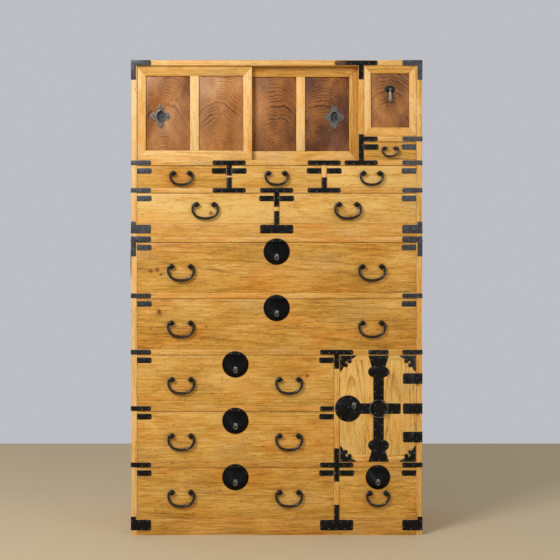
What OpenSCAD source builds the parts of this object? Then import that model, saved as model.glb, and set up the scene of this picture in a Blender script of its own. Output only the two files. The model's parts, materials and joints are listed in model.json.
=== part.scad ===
// Two-section stacked clothing chest, with iron fittings.
// The frame stands at the middle of the footprint on the floor: +X right, -Y front, +Z up.

/* [Case] */
// Width of both cases over the side boards
case_w = 950; // [880:5:1100]
// Depth of both cases, front edge to back boards
case_d = 430; // [360:5:480]
// Thickness of the side, top and divider boards
board_t = 18; // [15:1:20]
// Height of the rails between the drawers
rail_h = 18; // [16:1:24]
// Depth of the rails, front to back
rail_d = 18; // [14:1:30]
// Thickness of the shelf boards behind the rails
shelf_t = 9; // [6:1:12]
// Thickness of the back boards
back_t = 9; // [6:1:12]
// Number of box-joint fingers along each corner
finger_n = 9; // [5:2:13]
// Glue line between neighbouring boards
glue_gap = 0.1; // [0.05:0.05:0.2]

/* [Lower case] */
// Height of the front rail that stands on the floor
base_h = 54; // [50:1:90]
// Height of every drawer opening in the lower case
lower_row_h = 166.4; // [150:0.1:190]
// Width of the safe compartment and the drawer below it
safe_w = 251.8; // [220:0.1:300]

/* [Upper case] */
// Height of the bottom rail of the upper case
foot_h = 42.5; // [40:0.5:60]
// Height of the openings of the two half-width drawers
half_row_h = 100; // [85:1:120]
// Height of the openings of the three small drawers in a row
third_row_h = 72; // [66:1:90]
// Height of the cupboard behind the sliding doors
cupboard_h = 308.5; // [280:0.5:360]
// Width of the narrow bay at the right
side_bay_w = 171.7; // [150:0.1:200]
// Height of the opening of the smallest drawer
small_row_h = 60; // [52:1:70]

/* [Drawers] */
// Thickness of the drawer fronts
front_t = 18; // [15:1:20]
// Thickness of the drawer sides and backs
side_t = 9; // [7:1:12]
// Thickness of the drawer bottoms
bottom_t = 6; // [5:1:9]
// How far the drawer fronts sit behind the case front
front_recess = 1; // [0.5:0.5:3]
// Running gap under a drawer
under_gap = 0.3; // [0.2:0.1:0.6]
// Gap over a drawer
over_gap = 1.6; // [0.6:0.1:2]
// Gap at each side of a drawer
side_gap = 0.8; // [0.4:0.1:1.5]
// Gap between a closed drawer and the back boards
stop_gap = 0.5; // [0.3:0.1:2]
// How far the drawer sides stop below the top of the front
side_drop = 4; // [2:1:8]
// How deep the drawer sides are let into the back of the front
rabbet_d = 10; // [6:1:12]

/* [Sliding doors] */
// Thickness of the sliding and lift-out doors
door_t = 15; // [13:1:18]
// Visible width of the upright door members
stile_w = 28; // [22:1:36]
// Visible height of the level door members
door_rail_h = 31; // [24:1:40]
// Width of the upright bar between the two panels
muntin_w = 29; // [20:1:40]
// Thickness of the figured wood panels
panel_t = 6; // [4:0.5:8]
// How far the panels sit behind the face of their frame
panel_recess = 4; // [3:0.5:4.5]
// How far the panels reach into the frame
panel_tongue = 6; // [4:0.5:9]
// How far the front door sits behind the case front
door_recess = 5; // [3:1:8]
// Gap between the front and the rear sliding door
door_pass_gap = 4; // [2:0.5:6]
// Thickness of the tongue that runs in the tracks
tongue_t = 7; // [5:0.5:9]
// Depth of the lower track
sill_groove = 3.5; // [2.5:0.5:5]
// Depth of the upper track
head_groove = 7; // [6:0.5:10]
// Gap between a door and the wood that it slides on
door_gap = 0.5; // [0.3:0.1:1]
// Gap over a door
door_top_gap = 1.5; // [1:0.5:4]
// Upright members of the lift-out door
lift_stile_w = 23; // [18:1:30]
// Level members of the lift-out door
lift_rail_h = 28; // [20:1:36]
// Depth of the wide groove over the lift-out door
lift_groove = 10; // [8:0.5:12]

/* [Safe door] */
// Thickness of the hinged safe door
safe_t = 18; // [15:1:20]
// Gap round the hinged safe door
safe_gap = 1.2; // [0.8:0.1:2]
// Height of the upper end batten
batten_top_h = 16; // [12:1:30]
// Height of the lower end batten
batten_foot_h = 23; // [12:1:36]
// Radius of the hinge pins
hinge_pin_r = 2; // [1.5:0.1:2.5]
// Outer radius of the hinge knuckles
knuckle_r = 4.2; // [3.6:0.1:5]
// Height of each hinge
hinge_h = 34; // [27:1:45]
// Half-width of the safe door's cross straps
cross_half = 17; // [12:1:20]
// Reach of the level strap beyond the middle of the upright one
cross_l = 72; // [50:1:76]
// Half-width of the flared ends of the upright strap
flare_w = 33; // [24:1:40]
// Radius of the safe door's ring, to the middle of its bar
ring_r = 29; // [22:1:32]
// Radius of the bar of the ring
ring_bar_r = 2; // [1.5:0.5:4]

/* [Ironwork] */
// Thickness of the iron plates
iron_t = 1.5; // [1:0.1:2]
// Height of the straps on the rails
strap_h = 15; // [10:1:16]
// Radius of the corners of the straps
strap_round = 5; // [2:0.5:7]
// Length of the straps at the case corners
strap_l = 64; // [40:1:90]
// Reach of the straps round the sides of the case
wrap_l = 45; // [20:1:80]
// Length of the straps at the drawer corners
drawer_strap_l = 47; // [30:1:60]
// Height of the straps at the drawer corners
drawer_strap_h = 18; // [10:1:24]
// Drop of the drawer straps below the top of the front
drawer_strap_drop = 7; // [3:1:12]
// Reach of the T straps to each side of a divider
tee_l = 54; // [40:1:58]
// Length of the stems of the T straps along a divider
stem_l = 45; // [30:1:48]
// Length of the stems between the small drawers
short_stem_l = 33; // [20:1:34]
// Height of the straps on the floor rail of the lower case
low_foot_h = 34; // [26:1:40]
// Height of the straps on the bottom rail of the upper case
high_foot_h = 28; // [22:1:32]
// Drop of those straps below the tops of their rails
foot_drop = 4; // [3:0.5:6]
// Width of the stems
stem_w = 16; // [10:1:18]
// Radius of the lock plates
lock_r = 43; // [30:1:46]
// Drop of a lock plate's centre below the top of its drawer
lock_drop = 29.4; // [20:0.1:32]
// Radius of the bosses round the keyholes
boss_r = 8; // [5:0.5:10]
// Radius of the hole for the key
key_r = 2.5; // [1.5:0.5:4]
// Radius of the round washers behind the bails
washer_r = 8; // [7:0.5:12]
// Radius of a bail's lowest arc, as a multiple of its drop
bail_spread = 1.45; // [1.3:0.05:1.6]
// Running clearance of a pin in its eye
pin_clearance = 0.1; // [0.05:0.01:0.1]
// Reach of a bail's pivot in front of the drawer
bail_reach = 9; // [8:0.5:14]

/* [Carrying handles] */
// Height of the pivots of the carrying handles above the floor
carry_z = 932; // [880:1:940]
// Reach of the pivots of the carrying handles beyond the case
carry_reach = 17; // [16:1:34]
// Drop of the carrying handles below their pivots
carry_drop = 115; // [90:1:130]

/* [Hidden] */
$fn = 48;
EPS = 0.01;

// Case planes
half_w = case_w/2;
in_x = half_w - board_t;
front_y = -case_d/2;
back_y = case_d/2;
back_in_y = back_y - back_t;
finger_w = case_d/finger_n;

// Lower case levels: five equal rows, counted from the floor
function lower_row(i) = base_h + i*(lower_row_h + rail_h);
lower_top = lower_row(4) + lower_row_h + board_t;
safe_x = in_x - safe_w;
safe_z0 = lower_row(1);
safe_z1 = lower_row(2) + lower_row_h;

// Upper case levels
half_row = lower_top + foot_h;
third_row = half_row + half_row_h + rail_h;
cupboard = third_row + third_row_h + rail_h;
upper_in_top = cupboard + cupboard_h;
upper_top = upper_in_top + board_t;
side_bay_x = in_x - side_bay_w;
lift_z = cupboard + small_row_h + rail_h;
third_w = (2*in_x - 2*board_t)/3;
third_div = third_w/2 + board_t/2;

// Tracks of the sliding doors
front_track = front_y + door_recess + door_t/2;
rear_track = front_track + door_t + door_pass_gap;
track_w = tongue_t + 2*door_gap;
sill_d = rear_track + door_t/2 - front_y + 2*door_gap;
slide_w = (side_bay_x - board_t + in_x + stile_w - 4*door_gap)/2;
lift_y = front_y + 2 + door_t/2;

// Bail sizes: post spacing, outer width, drop, bar radius, pin radius
WIDE = [62, 93, 49.5, 4.4, 2.5];
HALF = [57, 92, 50, 4.4, 2.5];
THIRD = [53, 81, 41.5, 4, 2.2];
CORNER = [53, 80, 44, 4.1, 2.3];
SMALL = [36, 59, 30, 3.1, 1.8];
CARRY = [100, 132, carry_drop, 5, 3];
eye_w = 6;
eye_wall = 3;
shank_r = 2.3;
shank_hole_gap = 0.1;
clinch = [20, 2, 4];
least_leg = 3;

// Bail places: distance of a pair of bails from the middle of its drawer
wide_bail_x = 312;
left_bail_x = 176;
left_col_x = (safe_x - board_t - in_x)/2;
right_col_x = (safe_x + in_x)/2;

// Drawers: name, opening x0, x1, z0, height, bail sizes, bail centres, bail lift, lock radius
DRAWERS = concat(
    [for (i = [0, 1]) [["wide_drawer_top", "wide_drawer_bottom"][i],
        -in_x, in_x, lower_row(4 - i), lower_row_h, WIDE, [-wide_bail_x, wide_bail_x], 3, lock_r]],
    [for (i = [0:2]) [["left_drawer_top", "left_drawer_middle", "left_drawer_bottom"][i],
        -in_x, safe_x - board_t, lower_row(2 - i), lower_row_h, WIDE,
        [left_col_x - left_bail_x, left_col_x + left_bail_x], 3, lock_r]],
    [["corner_drawer", safe_x, in_x, lower_row(0), lower_row_h, CORNER, [right_col_x], 0, lock_r - 3]],
    [for (s = [-1, 1]) [s < 0 ? "half_drawer_left" : "half_drawer_right",
        s < 0 ? -in_x : board_t/2, s < 0 ? -board_t/2 : in_x, half_row, half_row_h, HALF,
        [s*(in_x + board_t/2)/2], 12, 0]],
    [for (i = [-1:1]) [["third_drawer_left", "third_drawer_middle", "third_drawer_right"][i + 1],
        i*(third_w + board_t) - third_w/2, i*(third_w + board_t) + third_w/2,
        third_row, third_row_h, THIRD, [i*(third_w + board_t)], 10, 0]],
    [["small_drawer", side_bay_x, in_x, cupboard, small_row_h, SMALL, [(side_bay_x + in_x)/2], 8, 0]]
);
function bail_name(d, i) = len(d[6]) < 2 ? str(d[0], "_bail") : str(d[0], ["_left_bail", "_right_bail"][i]);

// Colours
PALE_WOOD = "#d9a860";
DRAWER_WOOD = "#cf9a50";
FIGURED_WOOD = "#9a6238";
IRON = "#26282b";

// ---------- shared shapes ----------

// A board between two planes on each axis
module board(x0, x1, y0, y1, z0, z1) {
    translate([x0, y0, z0]) cube([x1 - x0, y1 - y0, z1 - z0]);
}

// Stands a flat drawing up against the plane y, with its thickness towards the front
module stand(y, t = iron_t) {
    translate([0, y, 0]) rotate([90, 0, 0]) linear_extrude(t) children();
}

// A flat strap from x0 to x1 with rounded corners where asked
module strap(x0, x1, z0, z1, round0 = true, round1 = true) {
    r = min(strap_round, 0.45*(z1 - z0));
    square_between(round0 ? x0 + r : x0, round1 ? x1 - r : x1, z0, z1);
    for (end = [[round0, x0, x0 + r], [round1, x1, x1 - r]]) if (end[0]) {
        square_between(min(end[1], end[2]), max(end[1], end[2]), z0 + r, z1 - r);
        for (z = [z0 + r, z1 - r]) translate([end[2], z]) circle(r);
    }
}

module square_between(x0, x1, z0, z1) {
    translate([x0, z0]) square([x1 - x0, z1 - z0]);
}

// Fingers of one board along the depth of a corner: even ones belong to the top board
module fingers(x0, x1, z0, z1, odd) {
    for (i = [odd : 2 : finger_n - 1])
        board(x0, x1, front_y + i*finger_w + (i > 0 ? glue_gap/2 : 0),
            front_y + (i + 1)*finger_w - (i < finger_n - 1 ? glue_gap/2 : 0), z0, z1);
}

// ---------- wooden case ----------

// Both side boards of a case, standing from z0 and fingered into the top board under z1
module case_sides(z0, z1) {
    for (s = [0, 1]) mirror([s, 0, 0]) {
        board(-half_w, -in_x, front_y, back_y, z0, z1 - board_t);
        fingers(-half_w, -in_x - glue_gap, z1 - board_t - EPS, z1, 1);
    }
}

module case_top(z1) {
    difference() {
        union() {
            board(-in_x, in_x, front_y, back_y, z1 - board_t + glue_gap, z1);
            for (s = [0, 1]) mirror([s, 0, 0])
                fingers(-half_w, -in_x + EPS, z1 - board_t + glue_gap, z1, 0);
        }
        children();
    }
}

// The back closed with level boards
module case_back(z0, z1, n) {
    h = (z1 - z0)/n;
    for (i = [0 : n - 1])
        board(-in_x + glue_gap, in_x - glue_gap, back_in_y, back_y, z0 + i*h + glue_gap/2,
            z0 + (i + 1)*h - glue_gap/2);
}

// A front rail with its shelf board behind it, both level at the top
module shelf(x0, x1, top, d = rail_d) {
    board(x0 + glue_gap, x1 - glue_gap, front_y, front_y + d, top - rail_h, top);
    board(x0 + glue_gap, x1 - glue_gap, front_y + d + glue_gap, back_in_y - glue_gap, top - shelf_t, top);
}

// The lowest shelf of a case: high front rail, back rail and the shelf between them
module floor_shelf(z0, top) {
    board(-in_x + glue_gap, in_x - glue_gap, front_y, front_y + rail_d, z0, top);
    board(-in_x + glue_gap, in_x - glue_gap, back_in_y - glue_gap - rail_d, back_in_y - glue_gap,
        z0, top - shelf_t - glue_gap);
    board(-in_x + glue_gap, in_x - glue_gap, front_y + rail_d + glue_gap, back_in_y - glue_gap,
        top - shelf_t, top);
}

// An upright divider between two openings
module divider(x, z0, z1) {
    board(x, x + board_t, front_y, back_in_y - glue_gap, z0 + glue_gap, z1 - glue_gap);
}

module lower_case() {
    color(PALE_WOOD) {
        difference() {
            case_sides(0, lower_top);
            carry_sides() shank_bore(CARRY);
        }
        case_top(lower_top);
        case_back(0, lower_top - board_t, 4);
        floor_shelf(0, base_h);
        for (i = [1, 3, 4]) shelf(-in_x, in_x, lower_row(i));
        shelf(-in_x, safe_x - board_t, lower_row(2));
        divider(safe_x - board_t, lower_row(0), lower_row(1) - rail_h);
        divider(safe_x - board_t, safe_z0, safe_z1);
    }
}

module upper_case() {
    color(PALE_WOOD) {
        case_sides(lower_top + glue_gap, upper_top);
        case_top(upper_top) {
            for (y = [front_track, rear_track])
                board(-in_x, side_bay_x - board_t, y - track_w/2, y + track_w/2,
                    upper_in_top, upper_in_top + head_groove);
            board(side_bay_x, in_x, lift_y - door_t/2 - door_gap, lift_y + door_t/2 + door_gap,
                upper_in_top, upper_in_top + lift_groove);
        }
        case_back(lower_top + glue_gap, upper_in_top, 3);
        floor_shelf(lower_top + glue_gap, half_row);
        shelf(-in_x, in_x, third_row);
        difference() {
            shelf(-in_x, in_x, cupboard, sill_d);
            for (y = [front_track, rear_track])
                board(-in_x, side_bay_x - board_t, y - track_w/2, y + track_w/2,
                    cupboard - sill_groove, cupboard + EPS);
        }
        divider(-board_t/2, half_row, third_row - rail_h);
        for (x = [-third_div, third_div]) divider(x - board_t/2, third_row, cupboard - rail_h);
        divider(side_bay_x - board_t, cupboard, upper_in_top);
        difference() {
            shelf(side_bay_x, in_x, lift_z, lift_y + door_t/2 + 2 - front_y);
            board(side_bay_x, in_x, lift_y - track_w/2, lift_y + track_w/2,
                lift_z - sill_groove, lift_z + EPS);
        }
    }
}

// ---------- drawers ----------

// Boards of one drawer: front, bottom, two sides and back, each its own solid
module drawer(d) {
    x0 = d[1] + side_gap;
    x1 = d[2] - side_gap;
    z0 = d[3] + under_gap;
    z1 = d[3] + d[4] - over_gap;
    y0 = front_y + front_recess;
    y1 = y0 + front_t;
    y2 = back_in_y - stop_gap;
    side_z0 = z0 + bottom_t + glue_gap;
    side_z1 = z1 - side_drop;
    color(DRAWER_WOOD) {
        difference() {
            board(x0, x1, y0, y1, z0, z1);
            for (s = [-1, 1])
                translate([s < 0 ? x0 - 1 : x1 - side_t - glue_gap, y1 - rabbet_d, side_z0 - glue_gap])
                    cube([side_t + glue_gap + 1, rabbet_d + 1, side_z1 - side_z0 + 2*glue_gap]);
            for (x = d[6]) translate([x, y0, bail_z(d)]) shank_bore(d[5]);
            if (d[8] > 0) translate([(d[1] + d[2])/2, 0, key_z(d)])
                rotate([-90, 0, 0]) translate([0, 0, y0 - 1]) cylinder(h = front_t + 2, r = key_r + 1);
        }
        board(x0, x1, y1 + glue_gap, y2, z0, z0 + bottom_t);
        for (x = [x0, x1 - side_t])
            board(x, x + side_t, y1 - rabbet_d + glue_gap, y2, side_z0, side_z1);
        board(x0 + side_t + glue_gap, x1 - side_t - glue_gap, y2 - side_t, y2, side_z0, side_z1);
    }
}

function bail_z(d) = d[3] + d[4]/2 + d[7];
function lock_z(d) = d[3] + d[4] - over_gap - lock_drop;
function key_z(d) = lock_z(d) - d[8]/2;

// Iron of one drawer: two corner straps, the eyes of its bails and its lock
module drawer_ironwork(d) {
    x0 = d[1] + side_gap;
    x1 = d[2] - side_gap;
    y0 = front_y + front_recess;
    top = d[3] + d[4] - over_gap;
    z1 = top - drawer_strap_drop;
    color(IRON) {
        stand(y0) strap(x0, x0 + drawer_strap_l, z1 - drawer_strap_h, z1, false, true);
        stand(y0) strap(x1 - drawer_strap_l, x1, z1 - drawer_strap_h, z1, true, false);
        for (x = d[6]) translate([x, y0, bail_z(d)]) bail_eyes(d[5], front_t, true);
        if (d[8] > 0) drawer_lock((d[1] + d[2])/2, y0, lock_z(d), d[8], top);
    }
}

// A round lock plate cut off level with the drawer's top edge, with its boss and inner lock
module drawer_lock(x, y, z, r, top) {
    key = z - r/2;
    case_w2 = 36;
    case_t = 9;
    bolt_w = 20;
    difference() {
        union() {
            stand(y) intersection() {
                translate([x, z]) circle(r);
                translate([x - r, z - r]) square([2*r, r + top - z]);
            }
            translate([x, y, key]) rotate([90, 0, 0]) cylinder(h = 2*iron_t, r = boss_r);
        }
        keyhole(x, y, key);
    }
    difference() {
        board(x - case_w2, x + case_w2, y + front_t, y + front_t + case_t, key - 14, top - 3);
        board(x - bolt_w/2, x + bolt_w/2, y + front_t + 2, y + front_t + case_t - 2, key + 12, top - 2);
        translate([x, y + front_t - 1, key]) rotate([-90, 0, 0]) cylinder(h = case_t - 1, r = key_r + 1);
    }
    board(x - bolt_w/2 + pin_clearance, x + bolt_w/2 - pin_clearance, y + front_t + 2 + pin_clearance,
        y + front_t + case_t - 2 - pin_clearance, key + 12 + pin_clearance, top - 2);
}

// A round hole with a slot under it, cut through a plate at y
module keyhole(x, y, z) {
    translate([x, y + 1, z]) rotate([90, 0, 0]) cylinder(h = 4*iron_t, r = key_r);
    translate([x - key_r/2, y - 4*iron_t, z - 2.2*key_r]) cube([key_r, 4*iron_t + 1, 2*key_r]);
}

// ---------- bails ----------

// The two holes for the shanks of a bail's eyes, through a board behind y = 0
module shank_bore(b) {
    for (s = [-1, 1]) translate([s*b[0]/2, -1, 0])
        rotate([-90, 0, 0]) cylinder(h = front_t + 2, r = shank_r + shank_hole_gap);
}

// The two eyes that a bail hangs in, with washers, shanks and clinched ends behind the board
module bail_eyes(b, wood_t, clinched, reach = bail_reach) {
    eye_r = b[4] + eye_wall;
    shank_l = wood_t + (clinched ? clinch[1]/2 : -1);
    for (s = [-1, 1]) translate([s*b[0]/2, 0, 0]) difference() {
        union() {
            rotate([90, 0, 0]) cylinder(h = iron_t, r = min(washer_r, b[0]*0.19));
            rotate([90, 0, 0]) cylinder(h = reach - b[4] - 1, r = eye_w/2 - 0.2);
            translate([-eye_w/2, -reach, 0]) rotate([0, 90, 0]) cylinder(h = eye_w, r = eye_r);
            translate([0, -EPS, 0]) rotate([-90, 0, 0]) cylinder(h = shank_l, r = shank_r);
            if (clinched) translate([-clinch[0]/2, wood_t, -clinch[2]/2]) cube(clinch);
        }
        translate([-eye_w, -reach, 0]) rotate([0, 90, 0]) cylinder(h = 2*eye_w, r = b[4] + pin_clearance);
    }
}

// A quarter-round length of bar bent on radius R, from angle a0 to a1
module bent_bar(R, r, a0, a1) {
    rotate([0, 0, a0]) rotate_extrude(angle = a1 - a0) translate([R, 0]) circle(r);
}

// Radius of the tight arcs of a bail whose half-width is a and whose ends turn in by t, where a
// straight leg joins them to a lower arc that is bail_spread times the drop
function tight_arc(a, drop, t, leg) = let (
    R = bail_spread*drop,
    k2 = (R - a + t)/t,
    k1 = 2*(R - drop),
    k0 = a*a + pow(R - drop, 2) - R*R - leg*leg - t*t + k2*t*t,
    dz = (-k1 + sqrt(k1*k1 - 4*k2*k0))/(2*k2)
) (dz*dz + t*t)/(2*t);

// A hanging bail, drawn round its pivot axis: one wide arc below, a straight leg on each end of it,
// a tighter arc at each side, and an elbow that turns into the pin. A tall one has long legs
module bail(b, reach = bail_reach) {
    a = b[1]/2 - b[3];
    drop = b[2] - b[3];
    elbow = b[0]/2 + eye_w/2 + 1.2*b[3] + 0.5;
    tall = drop > 1.2*a;
    corner = tall ? 0.44*drop : tight_arc(a, drop, a - elbow, least_leg);
    dx = elbow - a + corner;
    dz = sqrt(corner*corner - dx*dx);
    leg = tall ? max(drop - a - dz, least_leg) : least_leg;
    h = (pow(a - corner, 2) + dz*dz - pow(drop - corner, 2) - leg*leg)/(2*(drop - corner - dz));
    R = h + drop;
    meet = atan2(-dz - h, a - corner) - atan2(leg, R - corner);
    tip = 0.24*b[0];
    color(IRON) translate([0, -reach, 0]) rotate([90, 0, 0]) union() {
        translate([0, h, 0]) bent_bar(R, b[3], -180 - meet, meet);
        for (s = [0, 1]) mirror([s, 0, 0]) {
            translate([a - corner, -dz, 0]) bent_bar(corner, b[3], meet, atan2(dz, dx));
            translate([0, h, 0]) rotate([0, 0, meet]) translate([R, 0, 0]) {
                sphere(1.06*b[3]);
                rotate([-90, 0, 0]) cylinder(h = leg, r = b[3]);
                translate([0, leg, 0]) sphere(1.06*b[3]);
            }
            translate([elbow, 0, 0]) sphere(1.08*b[3]);
            translate([b[0]/2 - tip, 0, 0]) rotate([0, 90, 0]) cylinder(h = elbow - b[0]/2 + tip, r = b[4]);
            translate([b[0]/2 - tip, 0, 0]) sphere(1.25*b[4]);
        }
    }
}

// Puts what is drawn for a front at the middle of each side of the lower case
module carry_sides(sides = [0, 1]) {
    for (s = sides) mirror([s, 0, 0]) translate([-half_w, 0, carry_z]) rotate([0, 0, -90]) children();
}

// ---------- ironwork of the cases ----------

// A strap on the front at the left edge that wraps round the side
module corner_strap(z0, z1, l = strap_l) {
    translate([-half_w, 0, 0]) {
        stand(front_y) strap(-iron_t, l, z0, z1, false, true);
        translate([0, front_y, 0]) rotate([90, 0, -90]) linear_extrude(iron_t)
            strap(-wrap_l, iron_t, z0, z1, true, false);
    }
}

// A lug below or above a strap along the left edge, from z0 to z1
module corner_leg(z0, z1, w) {
    stand(front_y) translate([-half_w - iron_t, 0]) square_between(0, w + iron_t, z0, z1);
}

// Straps on a rail's middle at both edges of the case
module rail_straps(rail_top, sides = [0, 1]) {
    for (s = sides) mirror([s, 0, 0])
        corner_strap(rail_top - rail_h/2 - strap_h/2, rail_top - rail_h/2 + strap_h/2);
}

// The rest of a lock plate, on the rail above its drawer
module lock_cap(x, top, r) {
    rail_z = top + over_gap;
    centre = top - lock_drop;
    stand(front_y) intersection() {
        translate([x, centre]) circle(r);
        translate([x - r, rail_z]) square([2*r, r]);
    }
}

// The middle of the rail whose top is at z
function rail_mid(z) = z - rail_h/2;

// A strap along a rail, reaching l to each side of x
module rail_strap(x, l, rail_top) {
    strap(x - l, x + l, rail_mid(rail_top) - strap_h/2, rail_mid(rail_top) + strap_h/2);
}

module lower_case_ironwork() {
    div_x = safe_x - board_t/2;
    color(IRON) {
        for (i = [1, 3, 4]) rail_straps(lower_row(i));
        rail_straps(lower_row(2), [0]);
        for (s = [0, 1]) mirror([s, 0, 0]) {
            union() {
                corner_strap(lower_top - board_t, lower_top);
                corner_leg(lower_top - strap_l, lower_top - board_t + EPS, stem_w - 1);
            }
            union() {
                corner_strap(base_h - foot_drop - low_foot_h, base_h - foot_drop);
                corner_leg(base_h - foot_drop - 1, base_h + 6, stem_w - 1);
            }
        }
        // straps over the divider: top, middle, cross and foot
        stand(front_y) {
            rail_strap(div_x, tee_l, lower_row(3));
            square_between(div_x - stem_w/2, div_x + stem_w/2, safe_z1 - stem_l, safe_z1 + 2);
        }
        stand(front_y) strap(div_x - tee_l, div_x - board_t/2, rail_mid(lower_row(2)) - strap_h/2,
            rail_mid(lower_row(2)) + strap_h/2, true, false);
        stand(front_y) {
            rail_strap(div_x, tee_l, safe_z0);
            square_between(div_x - stem_w/2, div_x + stem_w/2, safe_z0 - rail_h - stem_l, safe_z0 + stem_l);
        }
        stand(front_y) {
            strap(div_x - tee_l, div_x + tee_l, base_h - foot_drop - low_foot_h, base_h - foot_drop);
            square_between(div_x - stem_w/2, div_x + stem_w/2, base_h - foot_drop - 2, base_h + stem_l);
        }
        // strap over the safe door's upright strap
        stand(front_y) rail_strap(strap_x, flare_w, lower_row(3));
        for (d = DRAWERS) if (d[8] > 0) lock_cap((d[1] + d[2])/2, d[3] + d[4] - over_gap, d[8]);
        safe_hinges() case_leaf();
        carry_sides() bail_eyes(CARRY, board_t, false, carry_reach);
    }
}

module upper_case_ironwork() {
    div_x = side_bay_x - board_t/2;
    color(IRON) {
        for (z = [third_row, cupboard]) rail_straps(z);
        rail_straps(lift_z, [1]);
        for (s = [0, 1]) mirror([s, 0, 0]) {
            union() {
                corner_strap(upper_in_top, upper_top);
                corner_leg(upper_top - strap_l, upper_in_top + EPS, stem_w - 1);
            }
            union() {
                corner_strap(half_row - foot_drop - high_foot_h, half_row - foot_drop);
                corner_leg(half_row - foot_drop - 1, half_row + 6, stem_w - 1);
            }
        }
        // head and foot of the divider beside the narrow bay
        stand(front_y) {
            strap(div_x - 1.6*tee_l, div_x + tee_l, upper_top - (board_t + strap_h)/2,
                upper_top - (board_t - strap_h)/2);
            square_between(div_x - stem_w/2, div_x + stem_w/2, upper_in_top - stem_l, upper_in_top + 2);
        }
        stand(front_y) {
            rail_strap(div_x, tee_l, cupboard);
            square_between(div_x - stem_w/2, div_x + stem_w/2, cupboard - 2, lift_z + 6);
            strap(div_x, div_x + tee_l, rail_mid(lift_z) - strap_h/2,
                rail_mid(lift_z) + strap_h/2, false, true);
        }
        // the two dividers between the small drawers
        for (s = [-1, 1]) {
            x = s*third_div;
            stand(front_y) {
                rail_strap(x, tee_l, cupboard);
                if (s < 0) square_between(x - stem_w/2, x + stem_w/2, cupboard - rail_h - short_stem_l,
                    cupboard - rail_h + 2);
            }
            stand(front_y) {
                rail_strap(x, tee_l, third_row);
                square_between(x - stem_w/2, x + stem_w/2, third_row - 2, third_row + short_stem_l);
            }
        }
        // the divider between the half-width drawers
        stand(front_y) {
            rail_strap(0, tee_l, third_row);
            square_between(-stem_w/2, stem_w/2, third_row - rail_h - stem_l, third_row - rail_h + 2);
        }
        stand(front_y) {
            strap(-tee_l, tee_l, half_row - foot_drop - high_foot_h, half_row - foot_drop);
            square_between(-stem_w/2, stem_w/2, half_row - foot_drop - 2, half_row + stem_l - foot_drop);
        }
    }
}

// ---------- sliding and lift-out doors ----------

// Frame of a framed door centred on y: mitred members, a groove for the panels, a tongue below
module door_frame(x0, x1, z0, z1, y, stile, rail, muntin, foot, head, head_t) {
    w = x1 - x0;
    h = z1 - z0;
    mitre = glue_gap/2;
    mid0 = (x0 + x1 - muntin)/2;
    panel_y = y - door_t/2 + panel_recess;
    color(PALE_WOOD) difference() {
        union() {
            stand_member(y) polygon([[x0, z0 + mitre], [x0 + stile, z0 + rail + mitre],
                [x0 + stile, z1 - rail - mitre], [x0, z1 - mitre]]);
            stand_member(y) polygon([[x1, z0 + mitre], [x1, z1 - mitre],
                [x1 - stile, z1 - rail - mitre], [x1 - stile, z0 + rail + mitre]]);
            stand_member(y) polygon([[x0 + mitre, z0], [x1 - mitre, z0],
                [x1 - stile - mitre, z0 + rail], [x0 + stile + mitre, z0 + rail]]);
            stand_member(y) polygon([[x0 + mitre, z1], [x0 + stile + mitre, z1 - rail],
                [x1 - stile - mitre, z1 - rail], [x1 - mitre, z1]]);
            if (muntin > 0)
                board(mid0, mid0 + muntin, y - door_t/2, y + door_t/2,
                    z0 + rail + glue_gap, z1 - rail - glue_gap);
            board(x0 + 1, x1 - 1, y - tongue_t/2, y + tongue_t/2, z0 - foot, z0 + EPS);
            if (head > 0)
                board(x0 + 1, x1 - 1, y - head_t/2, y + head_t/2, z1 - EPS, z1 + head);
        }
        for (p = door_panel_spans(x0, x1, stile, muntin))
            board(p[0] - panel_tongue, p[1] + panel_tongue, panel_y - glue_gap, panel_y + panel_t + glue_gap,
                z0 + rail - panel_tongue, z1 - rail + panel_tongue);
    }
}

// The clear widths of a door's panels
function door_panel_spans(x0, x1, stile, muntin) = muntin > 0
    ? [[x0 + stile, (x0 + x1 - muntin)/2], [(x0 + x1 + muntin)/2, x1 - stile]]
    : [[x0 + stile, x1 - stile]];

module stand_member(y) {
    stand(y + door_t/2, door_t) children();
}

// The figured panels of a door, each let into the frame's groove
module door_panels(x0, x1, z0, z1, y, stile, rail, muntin) {
    panel_y = y - door_t/2 + panel_recess;
    spans = door_panel_spans(x0, x1, stile, muntin);
    color(FIGURED_WOOD) difference() {
        for (p = spans)
            board(p[0] - panel_tongue + glue_gap, p[1] + panel_tongue - glue_gap, panel_y, panel_y + panel_t,
                z0 + rail - panel_tongue + glue_gap, z1 - rail + panel_tongue - glue_gap);
        children();
    }
}

// Finger pulls: shift outwards from the middle of the panel, half-axes and depth of the cup, width
// of its flat rim, and the round leaves of the lobes round it
pull_shift = 24;
cup_a = 14.5;
cup_b = 20;
cup_depth = 8;
cup_rim = 3.5;
leaf_r = 5.5;
leaf_hole_r = 2;

// Sliding door places: the left one in the front track, the right one behind it
slide_z0 = cupboard + door_gap;
slide_z1 = upper_in_top - door_top_gap;
function slide_x0(s) = s < 0 ? -in_x + door_gap : side_bay_x - board_t - door_gap - slide_w;
function slide_y(s) = s < 0 ? front_track : rear_track;
function pull_x(s) = let (w = door_panel_spans(slide_x0(s), slide_x0(s) + slide_w, stile_w, muntin_w)
    [s < 0 ? 0 : 1]) (w[0] + w[1])/2 + s*pull_shift;
pull_z = cupboard + cupboard_h*0.465;

module sliding_door_frame(s) {
    door_frame(slide_x0(s), slide_x0(s) + slide_w, slide_z0, slide_z1, slide_y(s), stile_w, door_rail_h,
        muntin_w, sill_groove + door_gap - 0.3, head_groove + door_top_gap - 2, tongue_t);
}

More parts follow.
